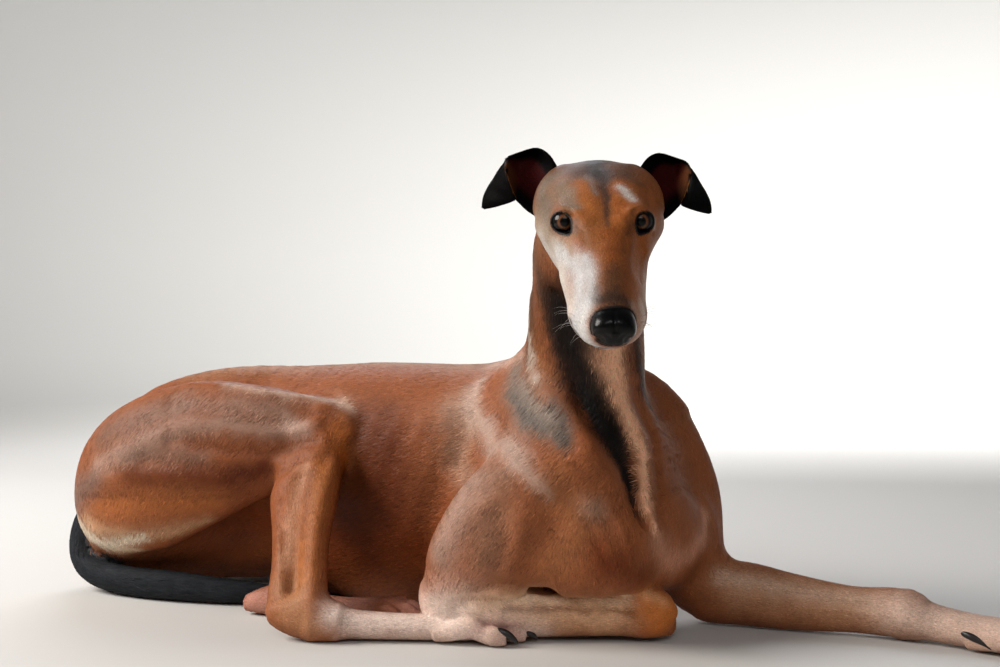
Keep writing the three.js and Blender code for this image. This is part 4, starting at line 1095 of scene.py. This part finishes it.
def wet_eye():
    """A dog's eye: a black pupil in a brown iris with a dark edge, under a wet clear cornea."""
    material, tree = new_material("wet_eye")
    place = add_node(tree, "ShaderNodeTexCoord").outputs["Object"]
    ring = add_node(tree, "ShaderNodeAttribute", attribute_name="ring").outputs["Fac"]
    fibre = add_node(tree, "ShaderNodeTexNoise", {"Vector": place, "Scale": per_mm(0.7), "Detail": 2.0})
    ramp = add_node(tree, "ShaderNodeValToRGB", {"Fac": ring})
    stops = [(0.0, "010101"), (0.28, "020101"), (0.32, "241009"), (0.42, "6e442a"), (0.55, "58341f"),
             (0.62, "1e0d06"), (0.67, "060303"), (0.8, "080504")]
    while len(ramp.color_ramp.elements) < len(stops):
        ramp.color_ramp.elements.new(0.5)
    for element, (stop, colour) in zip(ramp.color_ramp.elements, stops):
        element.position = stop
        element.color = (*linear(colour), 1)
    shade = add_node(tree, "ShaderNodeMapRange", {
        "Value": fibre.outputs["Fac"], "From Min": 0.3, "From Max": 0.7, "To Min": 0.7, "To Max": 1.25})
    colour = add_node(tree, "ShaderNodeVectorMath", {
        0: ramp.outputs["Color"], "Scale": shade.outputs["Result"]}, operation="SCALE")
    add_shader(tree, {
        "Base Color": colour.outputs["Vector"], "Roughness": 0.4, "IOR": 1.3, "Specular IOR Level": 0.15,
        "Coat Weight": 1.0, "Coat Roughness": 0.015, "Coat IOR": 1.24})
    return material


def nose_leather():
    """A dog's nose: black bare skin in small rounded cobbles, moist, so it shines."""
    material, tree = new_material("nose_leather")
    place = add_node(tree, "ShaderNodeTexCoord").outputs["Object"]
    cobbles = add_node(tree, "ShaderNodeTexVoronoi", {"Vector": place, "Scale": per_mm(1.3)})
    bump = add_node(tree, "ShaderNodeBump", {
        "Height": cobbles.outputs["Distance"], "Strength": 0.35, "Distance": -0.2 * MM})
    add_shader(tree, {
        "Base Color": (*linear("030303"), 1), "Roughness": 0.3, "Normal": bump.outputs["Normal"],
        "Specular IOR Level": 0.15, "Coat Weight": 0.12, "Coat Roughness": 0.1})
    return material


def horn():
    """Claw horn: black, polished by the ground, with faint growth lines."""
    material, tree = new_material("claw_horn")
    place = add_node(tree, "ShaderNodeTexCoord").outputs["Object"]
    grain = add_node(tree, "ShaderNodeTexNoise", {"Vector": place, "Scale": per_mm(1.2), "Detail": 2.0})
    rough = add_node(tree, "ShaderNodeMapRange", {
        "Value": grain.outputs["Fac"], "To Min": 0.25, "To Max": 0.5})
    bump = add_node(tree, "ShaderNodeBump", {
        "Height": grain.outputs["Fac"], "Strength": 0.3, "Distance": 0.1 * MM})
    add_shader(tree, {
        "Base Color": (*linear("191514"), 1), "Roughness": rough.outputs["Result"],
        "Normal": bump.outputs["Normal"]})
    return material


def matt_paper():
    """Matt background paper: pale grey and without shine."""
    material, tree = new_material("matt_paper")
    add_shader(tree, {"Base Color": (*linear("cfcdc9"), 1), "Roughness": 0.9})
    return material


def grid_faces(rows, columns, wrap=False):
    """Quads of a grid of points numbered row by row, joined round when it wraps."""
    i, k = np.meshgrid(np.arange(rows - 1), np.arange(columns if wrap else columns - 1), indexing="ij")
    a, b = i * columns + k, i * columns + (k + 1) % columns
    return np.stack([a, b, b + columns, a + columns], -1).reshape(-1, 4)


def ring_of(centre, across, above, wide, high, around):
    """Ovals of points round each centre: c + w cos(a) u + h sin(a) v."""
    turn = 2 * np.pi * np.arange(around) / around
    return (
        centre[:, None] + (wide[:, None] * np.cos(turn))[..., None] * across
        + (high[:, None] * np.sin(turn))[..., None] * above)


def close_rings(rows, around):
    """Triangles of rings of points numbered row by row, closed by a first and a last point at the end."""
    k = np.arange(around)
    first, last = rows * around, (rows - 1) * around
    caps = [
        np.stack([np.full(around, first), (k + 1) % around, k], 1),
        np.stack([np.full(around, first + 1), last + k, last + (k + 1) % around], 1)]
    return np.vstack([triangles_of(grid_faces(rows, around, wrap=True)), *caps])


# One ear, out from the skull and folded down at the tip, on the head's axes. The rows run from root to tip,
# and the cup is how far the leaf is hollowed back.
EAR_BACK_EDGE = [
    [-76, 33, 6], [-88, 43, 21], [-96, 55, 26], [-97, 70, 22], [-94, 81, 17], [-90, 90, 9], [-88, 96, 0],
    [-86, 102, -9], [-82, 106, -17], [-77, 107, -24]]
EAR_FRONT_EDGE = [
    [-46, 54, -20], [-51, 63, -17], [-57, 70, -13], [-64, 77, -7], [-70, 84, 15], [-61, 81, 9],
    [-56, 77, 0], [-56, 75, -7], [-64, 87, -16], [-76, 104, -26]]
EAR_CUP = [[8], [17], [20], [19], [12], [3], [-3], [-4], [-3], [0]]
EAR_THICKNESS = [[8.0], [4.4], [3.0], [2.6], [2.6], [2.6], [2.5], [2.4], [2.2], [2.0]]
LEFT_EAR_DROP = 6
EAR_HAIR = 2.6


def build_ear(side):
    """One ear's triangles, and for its points what the skin carries.

    The leaf runs from the front edge to the back edge, hollowed back by cup * 4 t (1 - t), and is given a
    thickness that thins to its rim. The hollow is dark red, its fold tan and the rest black.
    """
    steps, columns = 6, 25
    back, front, cup, thick = (smooth_path(rows, steps) for rows in (
        EAR_BACK_EDGE, EAR_FRONT_EDGE, EAR_CUP, EAR_THICKNESS))
    t = np.linspace(0, 1, columns)[None, :, None]
    leaf = front[:, None] * (1 - t) + back[:, None] * t
    leaf[..., 0] -= (cup * 4 * t[0, :, 0] * (1 - t[0, :, 0]))
    leaf[..., 1] *= side
    if side > 0:
        leaf[..., 2] -= LEFT_EAR_DROP
    leaf = HEAD_ORIGIN + leaf @ HEAD_AXES
    normal = unit(np.cross(np.gradient(leaf, axis=0), np.gradient(leaf, axis=1))) * side
    rim = np.sqrt(np.clip(1 - (2 * t - 1) ** 8, 0.06, 1))
    half = thick[:, None] / 2 * rim * np.ones_like(t)
    points = np.concatenate([(leaf + sign * normal * half).reshape(-1, 3) for sign in (1, -1)])

    rows = len(back)
    count = rows * columns
    sheet = grid_faces(rows, columns)
    edge = np.concatenate([
        np.arange(columns), columns - 1 + columns * np.arange(1, rows),
        (rows - 1) * columns + np.arange(columns - 2, -1, -1), columns * np.arange(rows - 2, 0, -1)])
    following = np.roll(edge, -1)
    band = np.stack([edge, edge + count, following + count, following], 1)
    order = slice(None, None, -side)
    quads = np.vstack([sheet[:, order], count + sheet[:, ::side], band[:, order]])

    row = np.repeat(np.arange(rows) / steps, columns)
    across = np.tile(t[0, :, 0], rows)
    hollow = ease((4.0 - row) / 0.5) * ease((across - 0.08) / 0.16) * ease((0.74 - across) / 0.16)
    fold = ease((row - 2.6) / 1.0) * ease((4.6 - row) / 0.4) * ease((0.45 - across) / 0.3) * 0.75
    root = ease((1.2 - row) / 1.2) * 0.4
    crease = ease((row - 4.4) / 0.3) * ease((7.2 - row) / 0.6) * ease((0.06 - across) / 0.05) * 0.7
    black = linear(BLACK)
    inner = mix(mix(black, linear(EAR_LINING), hollow), linear(EAR_FOLD), fold)
    outer = mix(mix(black, linear(EAR_ROOT), root), linear(EAR_CREASE), crease)
    share = np.stack([np.tile(across, 2) / 2, np.tile(row / row.max(), 2)], 1)
    share[count:, 0] += 0.5
    corner, size = CHARTS["ear_left" if side > 0 else "ear_right"]
    return triangles_of(quads), {
        "points": points, "colours": np.vstack([inner, outer]),
        "gloss": np.zeros(2 * count), "bare": np.zeros(2 * count),
        "direction": np.tile(unit(np.gradient(leaf, axis=0)).reshape(-1, 3), (2, 1)),
        "hair": np.full(2 * count, EAR_HAIR), "chart": corner + size * share,
        "region": np.ones(2 * count, int)}


def build_eye(side, material):
    """One eyeball: a sphere of radius r that bulges by b exp(-(angle / 0.55)^2) about the way it looks, for
    the cornea."""
    around, down = 64, 60
    centre = eye_axes(side)[0]
    axis = unit(LOOK) @ HEAD_AXES
    across = unit(np.cross(axis, CROWN))
    angle = np.pi * (np.arange(1, down) / down) ** 1.3
    radius = EYE_RADIUS + CORNEA_BULGE * np.exp(-(angle / 0.55) ** 2)
    middles = centre + (radius * np.cos(angle))[:, None] * axis
    ring = radius * np.sin(angle)
    points = np.vstack([
        ring_of(middles, across, np.cross(across, axis), ring, ring, around).reshape(-1, 3),
        centre + (EYE_RADIUS + CORNEA_BULGE) * axis, centre - EYE_RADIUS * axis])
    name = "left" if side > 0 else "right"
    piece = new_mesh("eyeball_" + name, points, close_rings(down - 1, around), material)
    set_value(piece, "ring", np.concatenate([np.repeat(angle, around), [0, np.pi]]))
    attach(piece, "root")
    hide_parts("eye_" + name)


def nose_distance(points):
    """Distance outside the nose leather: a rounded tube with a groove down its middle and two nostrils."""
    value = tube_distance(NOSE_PART, points)
    for height, path in NOSE_RELIEF:
        value = value - height * brush(path, points)
    return value


NOSE_PART = make_part(NOSE, side=LEFT, power=2.25, egg=0.04, inset=0.3)
NOSE_RELIEF = laid_on(lambda points: tube_distance(NOSE_PART, points), [
    (height, on_head(np.array(rows) + [0, 3, 0, 0])) for height, rows in [
        (-0.8, [[126, 0, -14, 1.6], [138, 0, -24, 1.2], [141, 0, -32, 1.2], [136, 0, -42, 1.4]]),
        *[(height, mirrored(rows, side)) for side in (1, -1) for height, rows in [
            (-6.0, [[141, 6.5, -28.5, 3.6], [140, 9, -31, 3.8]]),
            (-3.0, [[139, 10.5, -33, 2.6], [136, 13.5, -35, 2.2], [130, 16, -35, 1.6]]),
            (0.7, [[138, 7, -23, 4], [135, 12, -27, 3]]),
        ]],
    ]])


def build_nose(material):
    """The nose leather, as the level surface of its own distance field."""
    middle = on_head([[122, 0, -27]])[0]
    points, triangles = level_surface(nose_distance, middle - 26, middle + 26, 1.0)
    points = settle(relax(points, triangles, 2), nose_distance, 2, 1.0)
    piece = new_mesh("nose_leather", points, triangles, material)
    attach(piece, "root")
    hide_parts("nose")


def build_tube(rows, side, around=18, steps=6):
    """A closed tube's points and triangles: ovals along a smooth path, each end drawn to a point."""
    rows = smooth_path(rows, steps)
    centre = rows[:, :3]
    tangent, across, upward = path_axes(centre, side)
    points = ring_of(centre, across[:, None], upward[:, None], rows[:, 3], rows[:, 4], around)
    tips = centre[[0, -1]] + tangent[[0, -1]] * np.array([[-0.4], [0.6]]) * rows[[0, -1], 4:5]
    return np.vstack([points.reshape(-1, 3), tips]), close_rings(len(rows), around)


def build_claws(material):
    """The claws, each a curved cone in place of its solid."""
    shapes = {}
    for foot in FEET:
        for number in range(4):
            rows, side = digit(foot, number, CLAW)
            shapes[f"claw_{foot}_{number + 1}"] = build_tube(rows, side)
    for foot, rows in DEWCLAWS.items():
        shapes[f"dewclaw_{foot}"] = build_tube(rows, ACROSS)
    for node, (points, triangles) in shapes.items():
        piece = new_mesh("horn_" + node, points, triangles, material)
        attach(piece, "root")
        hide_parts(node)


# The nodes whose place the skin takes.
FLESH = [
    "head", "neck", "ear_right", "ear_left", "paw_front_left", "forearm_left", "shoulder_left",
    "forearm_right", "shoulder_right", "paw_front_right", "foot_right", "shank_right", "thigh_right",
    "foot_left", "shank_left", "thigh_left", "tail", "chest", "loin", "croup"]


def lie_of(points):
    """How the coat lies on the body: its direction and hair length, blended from the parts near each point,
    and each point's place on the flat chart, where every part is unrolled into its own rectangle."""
    direction = np.zeros((len(points), 3))
    hair = np.zeros(len(points))
    total = np.full(len(points), 1e-9)
    nearest = np.full(len(points), FAR)
    chart = np.zeros((len(points), 2))
    for name, part in PARTS.items():
        spare = PART_REACH - COAT_REACH
        near = inside_box(points, part["low"] + spare, part["high"] - spare)
        if len(near) == 0:
            continue
        place, across, up, out = tube_place(part, points[near])
        weight = np.exp(-np.clip(out, -5, 60) / 6)
        direction[near] += weight[:, None] * sample(part["flow"], place)
        hair[near] += weight * HAIR[name.split("_")[0]]
        total[near] += weight
        closer = out < nearest[near]
        nearest[near[closer]] = out[closer]
        turn = np.arctan2(up, across) / (2 * np.pi) + 0.5
        share = np.stack([turn, place / (len(part["centre"]) - 1)], 1)
        corner, size = CHARTS[name]
        chart[near[closer]] = (corner + size * share)[closer]
    hair = hair / total
    for length, path in LONG_HAIR:
        hair = hair + (length - hair) * brush(path, points)
    return direction, hair, chart


def pack_charts():
    """A corner and a size in the unit square for each part's unrolled rectangle. All have one scale, which is
    taken down until they fit, and stand in shelves with a gap between them."""
    sizes = {}
    for name, part in PARTS.items():
        half = part["columns"][:, 9:11]
        length = np.linalg.norm(np.diff(part["centre"], axis=0), axis=1).sum()
        sizes[name] = np.array([np.pi * half.sum(1).max(), length])
    for side in ("right", "left"):
        sizes["ear_" + side] = EAR_CHART
    order = sorted(sizes, key=lambda name: -sizes[name][1])
    scale = LARGEST_SCALE
    while True:
        charts, x, y, shelf = {}, 0.0, 0.0, 0.0
        for name in order:
            size = sizes[name] * scale
            if x + size[0] > 1:
                x, y, shelf = 0.0, y + shelf, 0.0
            charts[name] = (np.array([x, y]) + CHART_GAP, size - 2 * CHART_GAP)
            x, shelf = x + size[0], max(shelf, size[1])
        if y + shelf < 1:
            return charts
        scale *= 0.97


# Hair length in mm on each kind of part, and where it is longer: length, rows [x, y, z, width].
HAIR = {
    "trunk": 7.5, "neck": 8.0, "withers": 7.5, "breast": 7.0, "belly": 7.0, "head": 2.7, "shoulder": 7.5,
    "arm": 7.0, "forearm": 4.6, "paw": 3.2, "thigh": 7.5, "tibia": 4.6, "calf": 4.6, "shank": 5.0,
    "hock": 3.6, "foot": 3.2, "toe": 2.6, "tail": 11.0}
LONG_HAIR = [(length, smooth_path(rows, 4)) for length, rows in [
    (17, [[-458, -36, 96, 12], [-440, -44, 66, 13], [-412, -44, 50, 12], [-372, -40, 48, 8]]),
    (15, [[-430, -56, 92, 14], [-380, -62, 76, 12], [-330, -60, 78, 10]]),
    (13, [[-40, 0, 4, 30], [60, 0, 0, 30]]),
    (11, [[110, -66, 330, 20], [120, -74, 270, 20], [150, -90, 230, 16]]),
]] + [(1.6, smooth_path(around_eye(side, [[0, 0, 8, 17], [0, 0, 14, 17]]), 2)) for side in (-1, 1)]

# The charts of the coat: an unrolled ear in mm, the scale tried first and the gap round each rectangle.
EAR_CHART = np.array([240.0, 130.0])
LARGEST_SCALE = 1 / 900
CHART_GAP = 0.003
CHARTS = pack_charts()

# The tufts.
TUFT_COVER = 0.18  # tufts on each mm2 where the hair is 9 mm long
TUFT_SLIMNESS = 0.13  # a tuft's width over its length, and what is added to it
TUFT_WIDTH = 0.2
RIDGE_PLACE = 0.34  # where the ridge stands, as a share of the length
ROOT_DEPTH = 0.05  # how deep a tuft's corners stand in the skin
LIFT = 0.07  # how far the tips stand off the skin, and the share of the length that the boldest add
BOLD_LIFT = 0.08
SCATTER = 0.16  # how much the lie varies from tuft to tuft
TILT = 0.32  # how far a tuft is lit from one side, at most
SHORT_HAIR = 4.0  # hair below this length is flecked more strongly
CORNER_SHADES = np.array([0.93, 0.93, 0.99, 1.12])  # of the two low corners, the ridge and the tip
PATCH = np.array([[-0.0012, -0.0015], [0.0012, -0.0015], [0, 0], [0, 0.0015]])  # its patch on the chart
PATCH_SCATTER = 0.003
WEDGE = np.array([[0, 2, 3], [2, 1, 3], [0, 1, 2], [0, 3, 1]])  # a tuft's four faces
MOST_TUFTS = 48000  # in one piece


def sow_roots(random, skin, triangles):
    """Roots spread evenly by area, closer where the hair is short and none on bare skin or by the floor: the
    triangle that each is on, and the shares of its corners in the root."""
    corners = skin["points"][triangles]
    cross = np.cross(corners[:, 1] - corners[:, 0], corners[:, 2] - corners[:, 0])
    area = np.linalg.norm(cross, axis=1) / 2
    clear = (skin["bare"][triangles].max(1) < 0.1) & (corners[:, :, 2].min(1) > 1.5)
    wanted = np.cumsum(area * clear * TUFT_COVER * (9 / skin["hair"][triangles].mean(1)) ** 1.3)
    owner = np.searchsorted(wanted, np.sort(random.random(int(wanted[-1]))) * wanted[-1])
    share = random.random((len(owner), 2))
    share = np.where(share.sum(1, keepdims=True) > 1, 1 - share, share)
    return triangles[owner], np.column_stack([1 - share.sum(1), share])


def shape_tufts(random, skin, triangles, three, share):
    """The four points of each tuft, its normals and its length.

    A tuft of length L starts at its root p with its corners at p +- w (0.13 L + 0.2) / 2. Its ridge lies a
    third of the way along, and its tip at p + d L - n (f - h), where d is the lie of the coat in the skin,
    n the normal, w = n x d, h the height over the skin, and f how far the skin falls away over that length,
    so that the tuft hugs the body. The ridge stays clear of the line from root to tip, so no tuft turns
    inside out. Each is lit by a normal between the skin's and its own side's, so the coat looks combed.
    """
    def blend(values):
        return np.einsum("ij,ijk->ik", share, values[three])

    count = len(three)
    root = blend(skin["points"])
    normal = unit(blend(vertex_normals(skin["points"], triangles)))
    length = np.einsum("ij,ij->i", share, skin["hair"][three]) * (0.75 + 0.5 * random.random(count))
    along = blend(unit(skin["direction"])) + SCATTER * random.normal(size=(count, 3))
    along = unit(along - normal * (along * normal).sum(1, keepdims=True))
    width = np.cross(normal, along)
    half = (TUFT_SLIMNESS * length + TUFT_WIDTH) / 2
    fall = np.zeros(count)
    on_body = np.flatnonzero(three.max(1) < skin["body_count"])
    fall[on_body] = skin_distance((root + along * length[:, None])[on_body])
    fall = np.clip(fall, -0.4, 0.5 * length)
    lift = LIFT + BOLD_LIFT * length * random.random(count) ** 9
    chord = RIDGE_PLACE * (lift - fall) - ROOT_DEPTH * (1 - RIDGE_PLACE)
    ridge = 0.04 + 0.08 * half + np.maximum(chord, -RIDGE_PLACE ** 2 * fall)
    low = root - ROOT_DEPTH * normal
    tufts = np.stack([
        low + width * half[:, None], low - width * half[:, None],
        root + normal * ridge[:, None] + along * (RIDGE_PLACE * length)[:, None],
        root + along * length[:, None] + normal * (lift - fall)[:, None]], 1)
    tufts[..., 2] = np.maximum(tufts[..., 2], 0.3)
    tilt = random.uniform(-TILT, TILT, (count, 1))
    tip_normal = unit(normal + along * np.clip(2 * fall / length, -0.3, 0.9)[:, None])
    lit = np.stack([unit(normal + 0.3 * width), unit(normal - 0.3 * width), normal, tip_normal], 1)
    return tufts, unit(lit + tilt[:, None] * width[:, None]), length


def grow_tufts(skin, triangles, materials):
    """The coat as closed wedges, each a tetrahedron with two low corners, a ridge and a tip. Each is a shade
    lighter or darker than the skin under it and paler toward its tip, and has a patch on the skin's chart."""
    random = np.random.default_rng(7)
    three, share = sow_roots(random, skin, triangles)
    tufts, lit, length = shape_tufts(random, skin, triangles, three, share)
    count = len(three)
    pick = three[np.arange(count), random.integers(0, 3, count)]
    shade = 1 + np.where(length < SHORT_HAIR, 0.2, 0.17) * random.normal(size=count).clip(-1.6, 2.2)
    shade = shade * np.where(random.random(count) < 0.06, 1.2, 1.0)
    tint = np.clip(skin["colours"][pick] * shade[:, None], 0, 1)
    tints = np.clip(tint[:, None] * CORNER_SHADES[:, None], 0, 1)
    spot = skin["chart"][pick] + random.uniform(-PATCH_SCATTER, PATCH_SCATTER, (count, 2))
    spots = np.clip(spot[:, None] + PATCH, 0, 1)
    for number, name in enumerate(("coat", "dark_coat", "pale_coat")):
        chosen = np.flatnonzero(skin["region"][pick] == number)
        parts = np.array_split(chosen, max(int(np.ceil(len(chosen) / MOST_TUFTS)), 1))
        for i, part in enumerate(parts):
            faces = (WEDGE + 4 * np.arange(len(part))[:, None, None]).reshape(-1, 3)
            piece = new_mesh(f"{name}_tufts_{i + 1}", tufts[part].reshape(-1, 3), faces, materials[number])
            set_colour(piece, tints[part].reshape(-1, 3))
            set_chart(piece, spots[part].reshape(-1, 2), faces)
            piece.data.normals_split_custom_set_from_vertices(lit[part].reshape(-1, 3))
            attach(piece, "root")


def region_of(points):
    """Which of the record's coats each point wears: 1 the dark coat of the tail, 2 the pale coat of paws
    and feet, else 0."""
    out = np.zeros(len(points), int)
    others = np.full(len(points), FAR)
    for name in ("trunk", "thigh_right", "thigh_left", "forearm_left", "forearm_right"):
        others = np.minimum(others, tube_distance(PARTS[name], points))
    for number, prefixes in ((1, ("tail",)), (2, ("paw", "foot", "toe", "hock"))):
        own = np.full(len(points), FAR)
        for name in PARTS:
            if name.split("_")[0] in prefixes:
                own = np.minimum(own, tube_distance(PARTS[name], points))
        out[own < np.minimum(others, 8)] = number
    return out


def dress_skin(points, triangles, coat, black_coat):
    """The one skin, body and ears in one mesh, painted with the coat's markings and with painted shade, sheen
    and highlights, and the tufts over it.
    """
    bare = gloss_of(points)
    for side in (-1, 1):
        gap, depth = opening_distance(points, side)
        bare = np.maximum(bare, (gap < 1.8) & (depth > 0) & (depth < 30))
    bare = np.maximum(bare, nose_distance(points) < 0.6)
    direction, hair, chart = lie_of(points)
    skin = {
        "points": points, "colours": coat_colour(points), "gloss": gloss_of(points), "bare": bare,
        "direction": direction, "hair": hair, "chart": chart, "region": region_of(points)}
    for side in (-1, 1):
        ear_triangles, ear = build_ear(side)
        triangles = np.vstack([triangles, ear_triangles + len(skin["points"])])
        skin = {name: np.concatenate([values, ear[name]]) for name, values in skin.items()}
    skin["body_count"] = len(points)
    piece = new_mesh("skin", skin["points"], triangles, coat)
    set_colour(piece, skin["colours"])
    set_value(piece, "gloss", skin["gloss"])
    piece.data.materials.append(black_coat)
    black = skin["region"][triangles].min(1) == 1
    piece.data.polygons.foreach_set("material_index", black.astype(np.int32))
    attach(piece, "root")
    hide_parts(*FLESH)
    grow_tufts(skin, triangles, (coat, black_coat, coat))


# The whiskers' roots on the head's axes, mirrored to the other side: forward, left, up, length untrimmed.
WHISKERS = [
    [116, 20, -30, 16], [112, 22, -35, 20], [108, 23, -30, 18], [104, 25, -38, 24], [100, 25, -33, 22],
    [95, 26, -41, 26], [92, 26, -35, 24], [86, 27, -43, 26], [84, 27, -37, 22], [114, 19, -42, 16],
    [106, 22, -45, 20], [14, 26, 19, 14], [8, 31, 19, 16], [2, 35, 18, 12], [104, 12, -58, 12],
    [94, 9, -60, 14]]
WHISKER_TRIM = 0.72
WHISKER_RINGS = 6
WHISKER_SIDES = 3


def build_whiskers(material):
    """The whiskers: three-sided cones that leave the skin along n - 0.9 f and droop by L t^2 / 3, where n is
    the skin's normal, f the way the muzzle points and t the share of the length L."""
    rows = np.array(WHISKERS, float)
    rows = np.vstack([rows, rows * [1, -1, 1, 1]])
    roots = settle(on_head(rows[:, :3]), skin_distance, 4, 20.0)
    normal = unit(slope_of(skin_distance, roots, skin_distance(roots)))
    spread = 0.12 * np.random.default_rng(3).normal(size=(len(rows), 3))
    way = unit(normal - 0.9 * FORWARD - [0, 0, 0.2] + spread)
    t = np.linspace(0, 1, WHISKER_RINGS)[None, :, None]
    length = WHISKER_TRIM * rows[:, 3][:, None, None]
    centre = roots[:, None] + way[:, None] * length * (t - 0.03) - UPWARD * length * t ** 2 / 3
    across = unit(np.cross(way, UPWARD))[:, None]
    above = np.cross(across, way[:, None])
    radius = 0.11 * (1 - t) + 0.02
    turn = 2 * np.pi * np.arange(WHISKER_SIDES) / WHISKER_SIDES
    points = np.stack([centre + radius * (np.cos(a) * across + np.sin(a) * above) for a in turn], 2)
    points = points.reshape(-1, 3)
    own = WHISKER_RINGS * WHISKER_SIDES
    one = triangles_of(grid_faces(WHISKER_RINGS, WHISKER_SIDES, wrap=True))
    one = np.vstack([one, [[2, 1, 0], [own - 3, own - 2, own - 1]]])
    faces = (one + own * np.arange(len(rows))[:, None, None]).reshape(-1, 3)
    piece = new_mesh("whiskers", points, faces, material)
    pale = np.repeat(rows[:, 1] < 0, own)[:, None]
    set_colour(piece, np.where(pale, linear("b9b2aa"), linear("4a3626")))
    patch = np.tile([[0, 0], [0.001, 0], [0, 0.001]], (WHISKER_RINGS * len(rows), 1))
    set_chart(piece, np.clip(np.repeat(lie_of(roots)[2], own, axis=0) + patch, 0, 1), faces)
    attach(piece, "root")


def stand(name, data, place, way):
    """A camera or a light set at a place and turned to look one way."""
    holder = bpy.data.objects.new(name, data)
    holder.location = place
    holder.rotation_euler = Vector(way).to_track_quat("-Z", "Y").to_euler()
    bpy.context.scene.collection.objects.link(holder)
    return holder


def place_camera():
    """The photograph's view: 291 mm up, turned 16 degrees to the left and tilted up 1.1 degrees."""
    turn, tilt = np.radians(16), np.radians(1.1)
    camera = bpy.data.cameras.new("camera")
    camera.sensor_width = 36
    camera.lens = 36.94
    way = (-np.sin(turn) * np.cos(tilt), np.cos(turn) * np.cos(tilt), np.sin(tilt))
    bpy.context.scene.camera = stand("camera", camera, (0.3947, -1.1459, 0.291), way)


def add_softbox(name, place, aim, size, power, colour):
    """A square soft light at a place, turned to an aim."""
    light = bpy.data.lights.new(name, "AREA")
    light.size = size
    light.energy = power
    light.color = linear(colour)
    stand(name, light, place, Vector(aim) - Vector(place))


def build_stage():
    """A pale floor that rises far off into a plain backdrop all round, soft lights and an even sky."""
    around = 72
    radius = np.array([0.01, *range(1, 13)]) * 1000
    height = 9000 * ease((radius - 6000) / 9000)
    turn = 2 * np.pi * np.arange(around) / around
    ring = np.stack([np.cos(turn), np.sin(turn)], 1)
    points = np.concatenate([
        np.hstack([r * ring, np.full((around, 1), z)]) for r, z in zip(radius, height)])
    floor = new_mesh("floor", points - SHIFT, grid_faces(len(radius), around, wrap=True), matt_paper())
    add_softbox(
        "window_light", place=(-2.15, -1.15, 1.75), aim=(0.0, -0.1, 0.2), size=1.4, power=104,
        colour="fffaf4")
    add_softbox(
        "rim_light", place=(-0.9, 1.5, 2.0), aim=(0.0, 0.0, 0.2), size=1.6, power=34, colour="f4f7ff")
    add_softbox(
        "backdrop_light", place=(1.0, 3.2, 3.6), aim=(0.2, 9.0, 0.6), size=4.0, power=500,
        colour="ffffff")
    sun = bpy.data.lights.new("even_light", "SUN")
    sun.energy = 1.5
    sun.angle = np.radians(40)
    stand("even_light", sun, (0, 0, 0), (-0.18, 0.9, -0.45))
    bpy.context.scene.view_settings.view_transform = "Standard"
    world = bpy.data.worlds.new("even_sky")
    world.use_nodes = True
    sky = world.node_tree.nodes["Background"].inputs
    sky["Color"].default_value = (*linear("e8ecf2"), 1)
    sky["Strength"].default_value = 0.1
    bpy.context.scene.world = world


place_camera()
build_stage()
coat_material = short_coat("short_coat", specular=0.2, ior=1.4)
black_coat_material = short_coat("black_coat", specular=0.1, ior=1.2)
dress_skin(*build_skin(), coat_material, black_coat_material)
build_whiskers(coat_material)
eye_material = wet_eye()
build_eye(-1, eye_material)
build_eye(1, eye_material)
build_nose(nose_leather())
build_claws(horn())
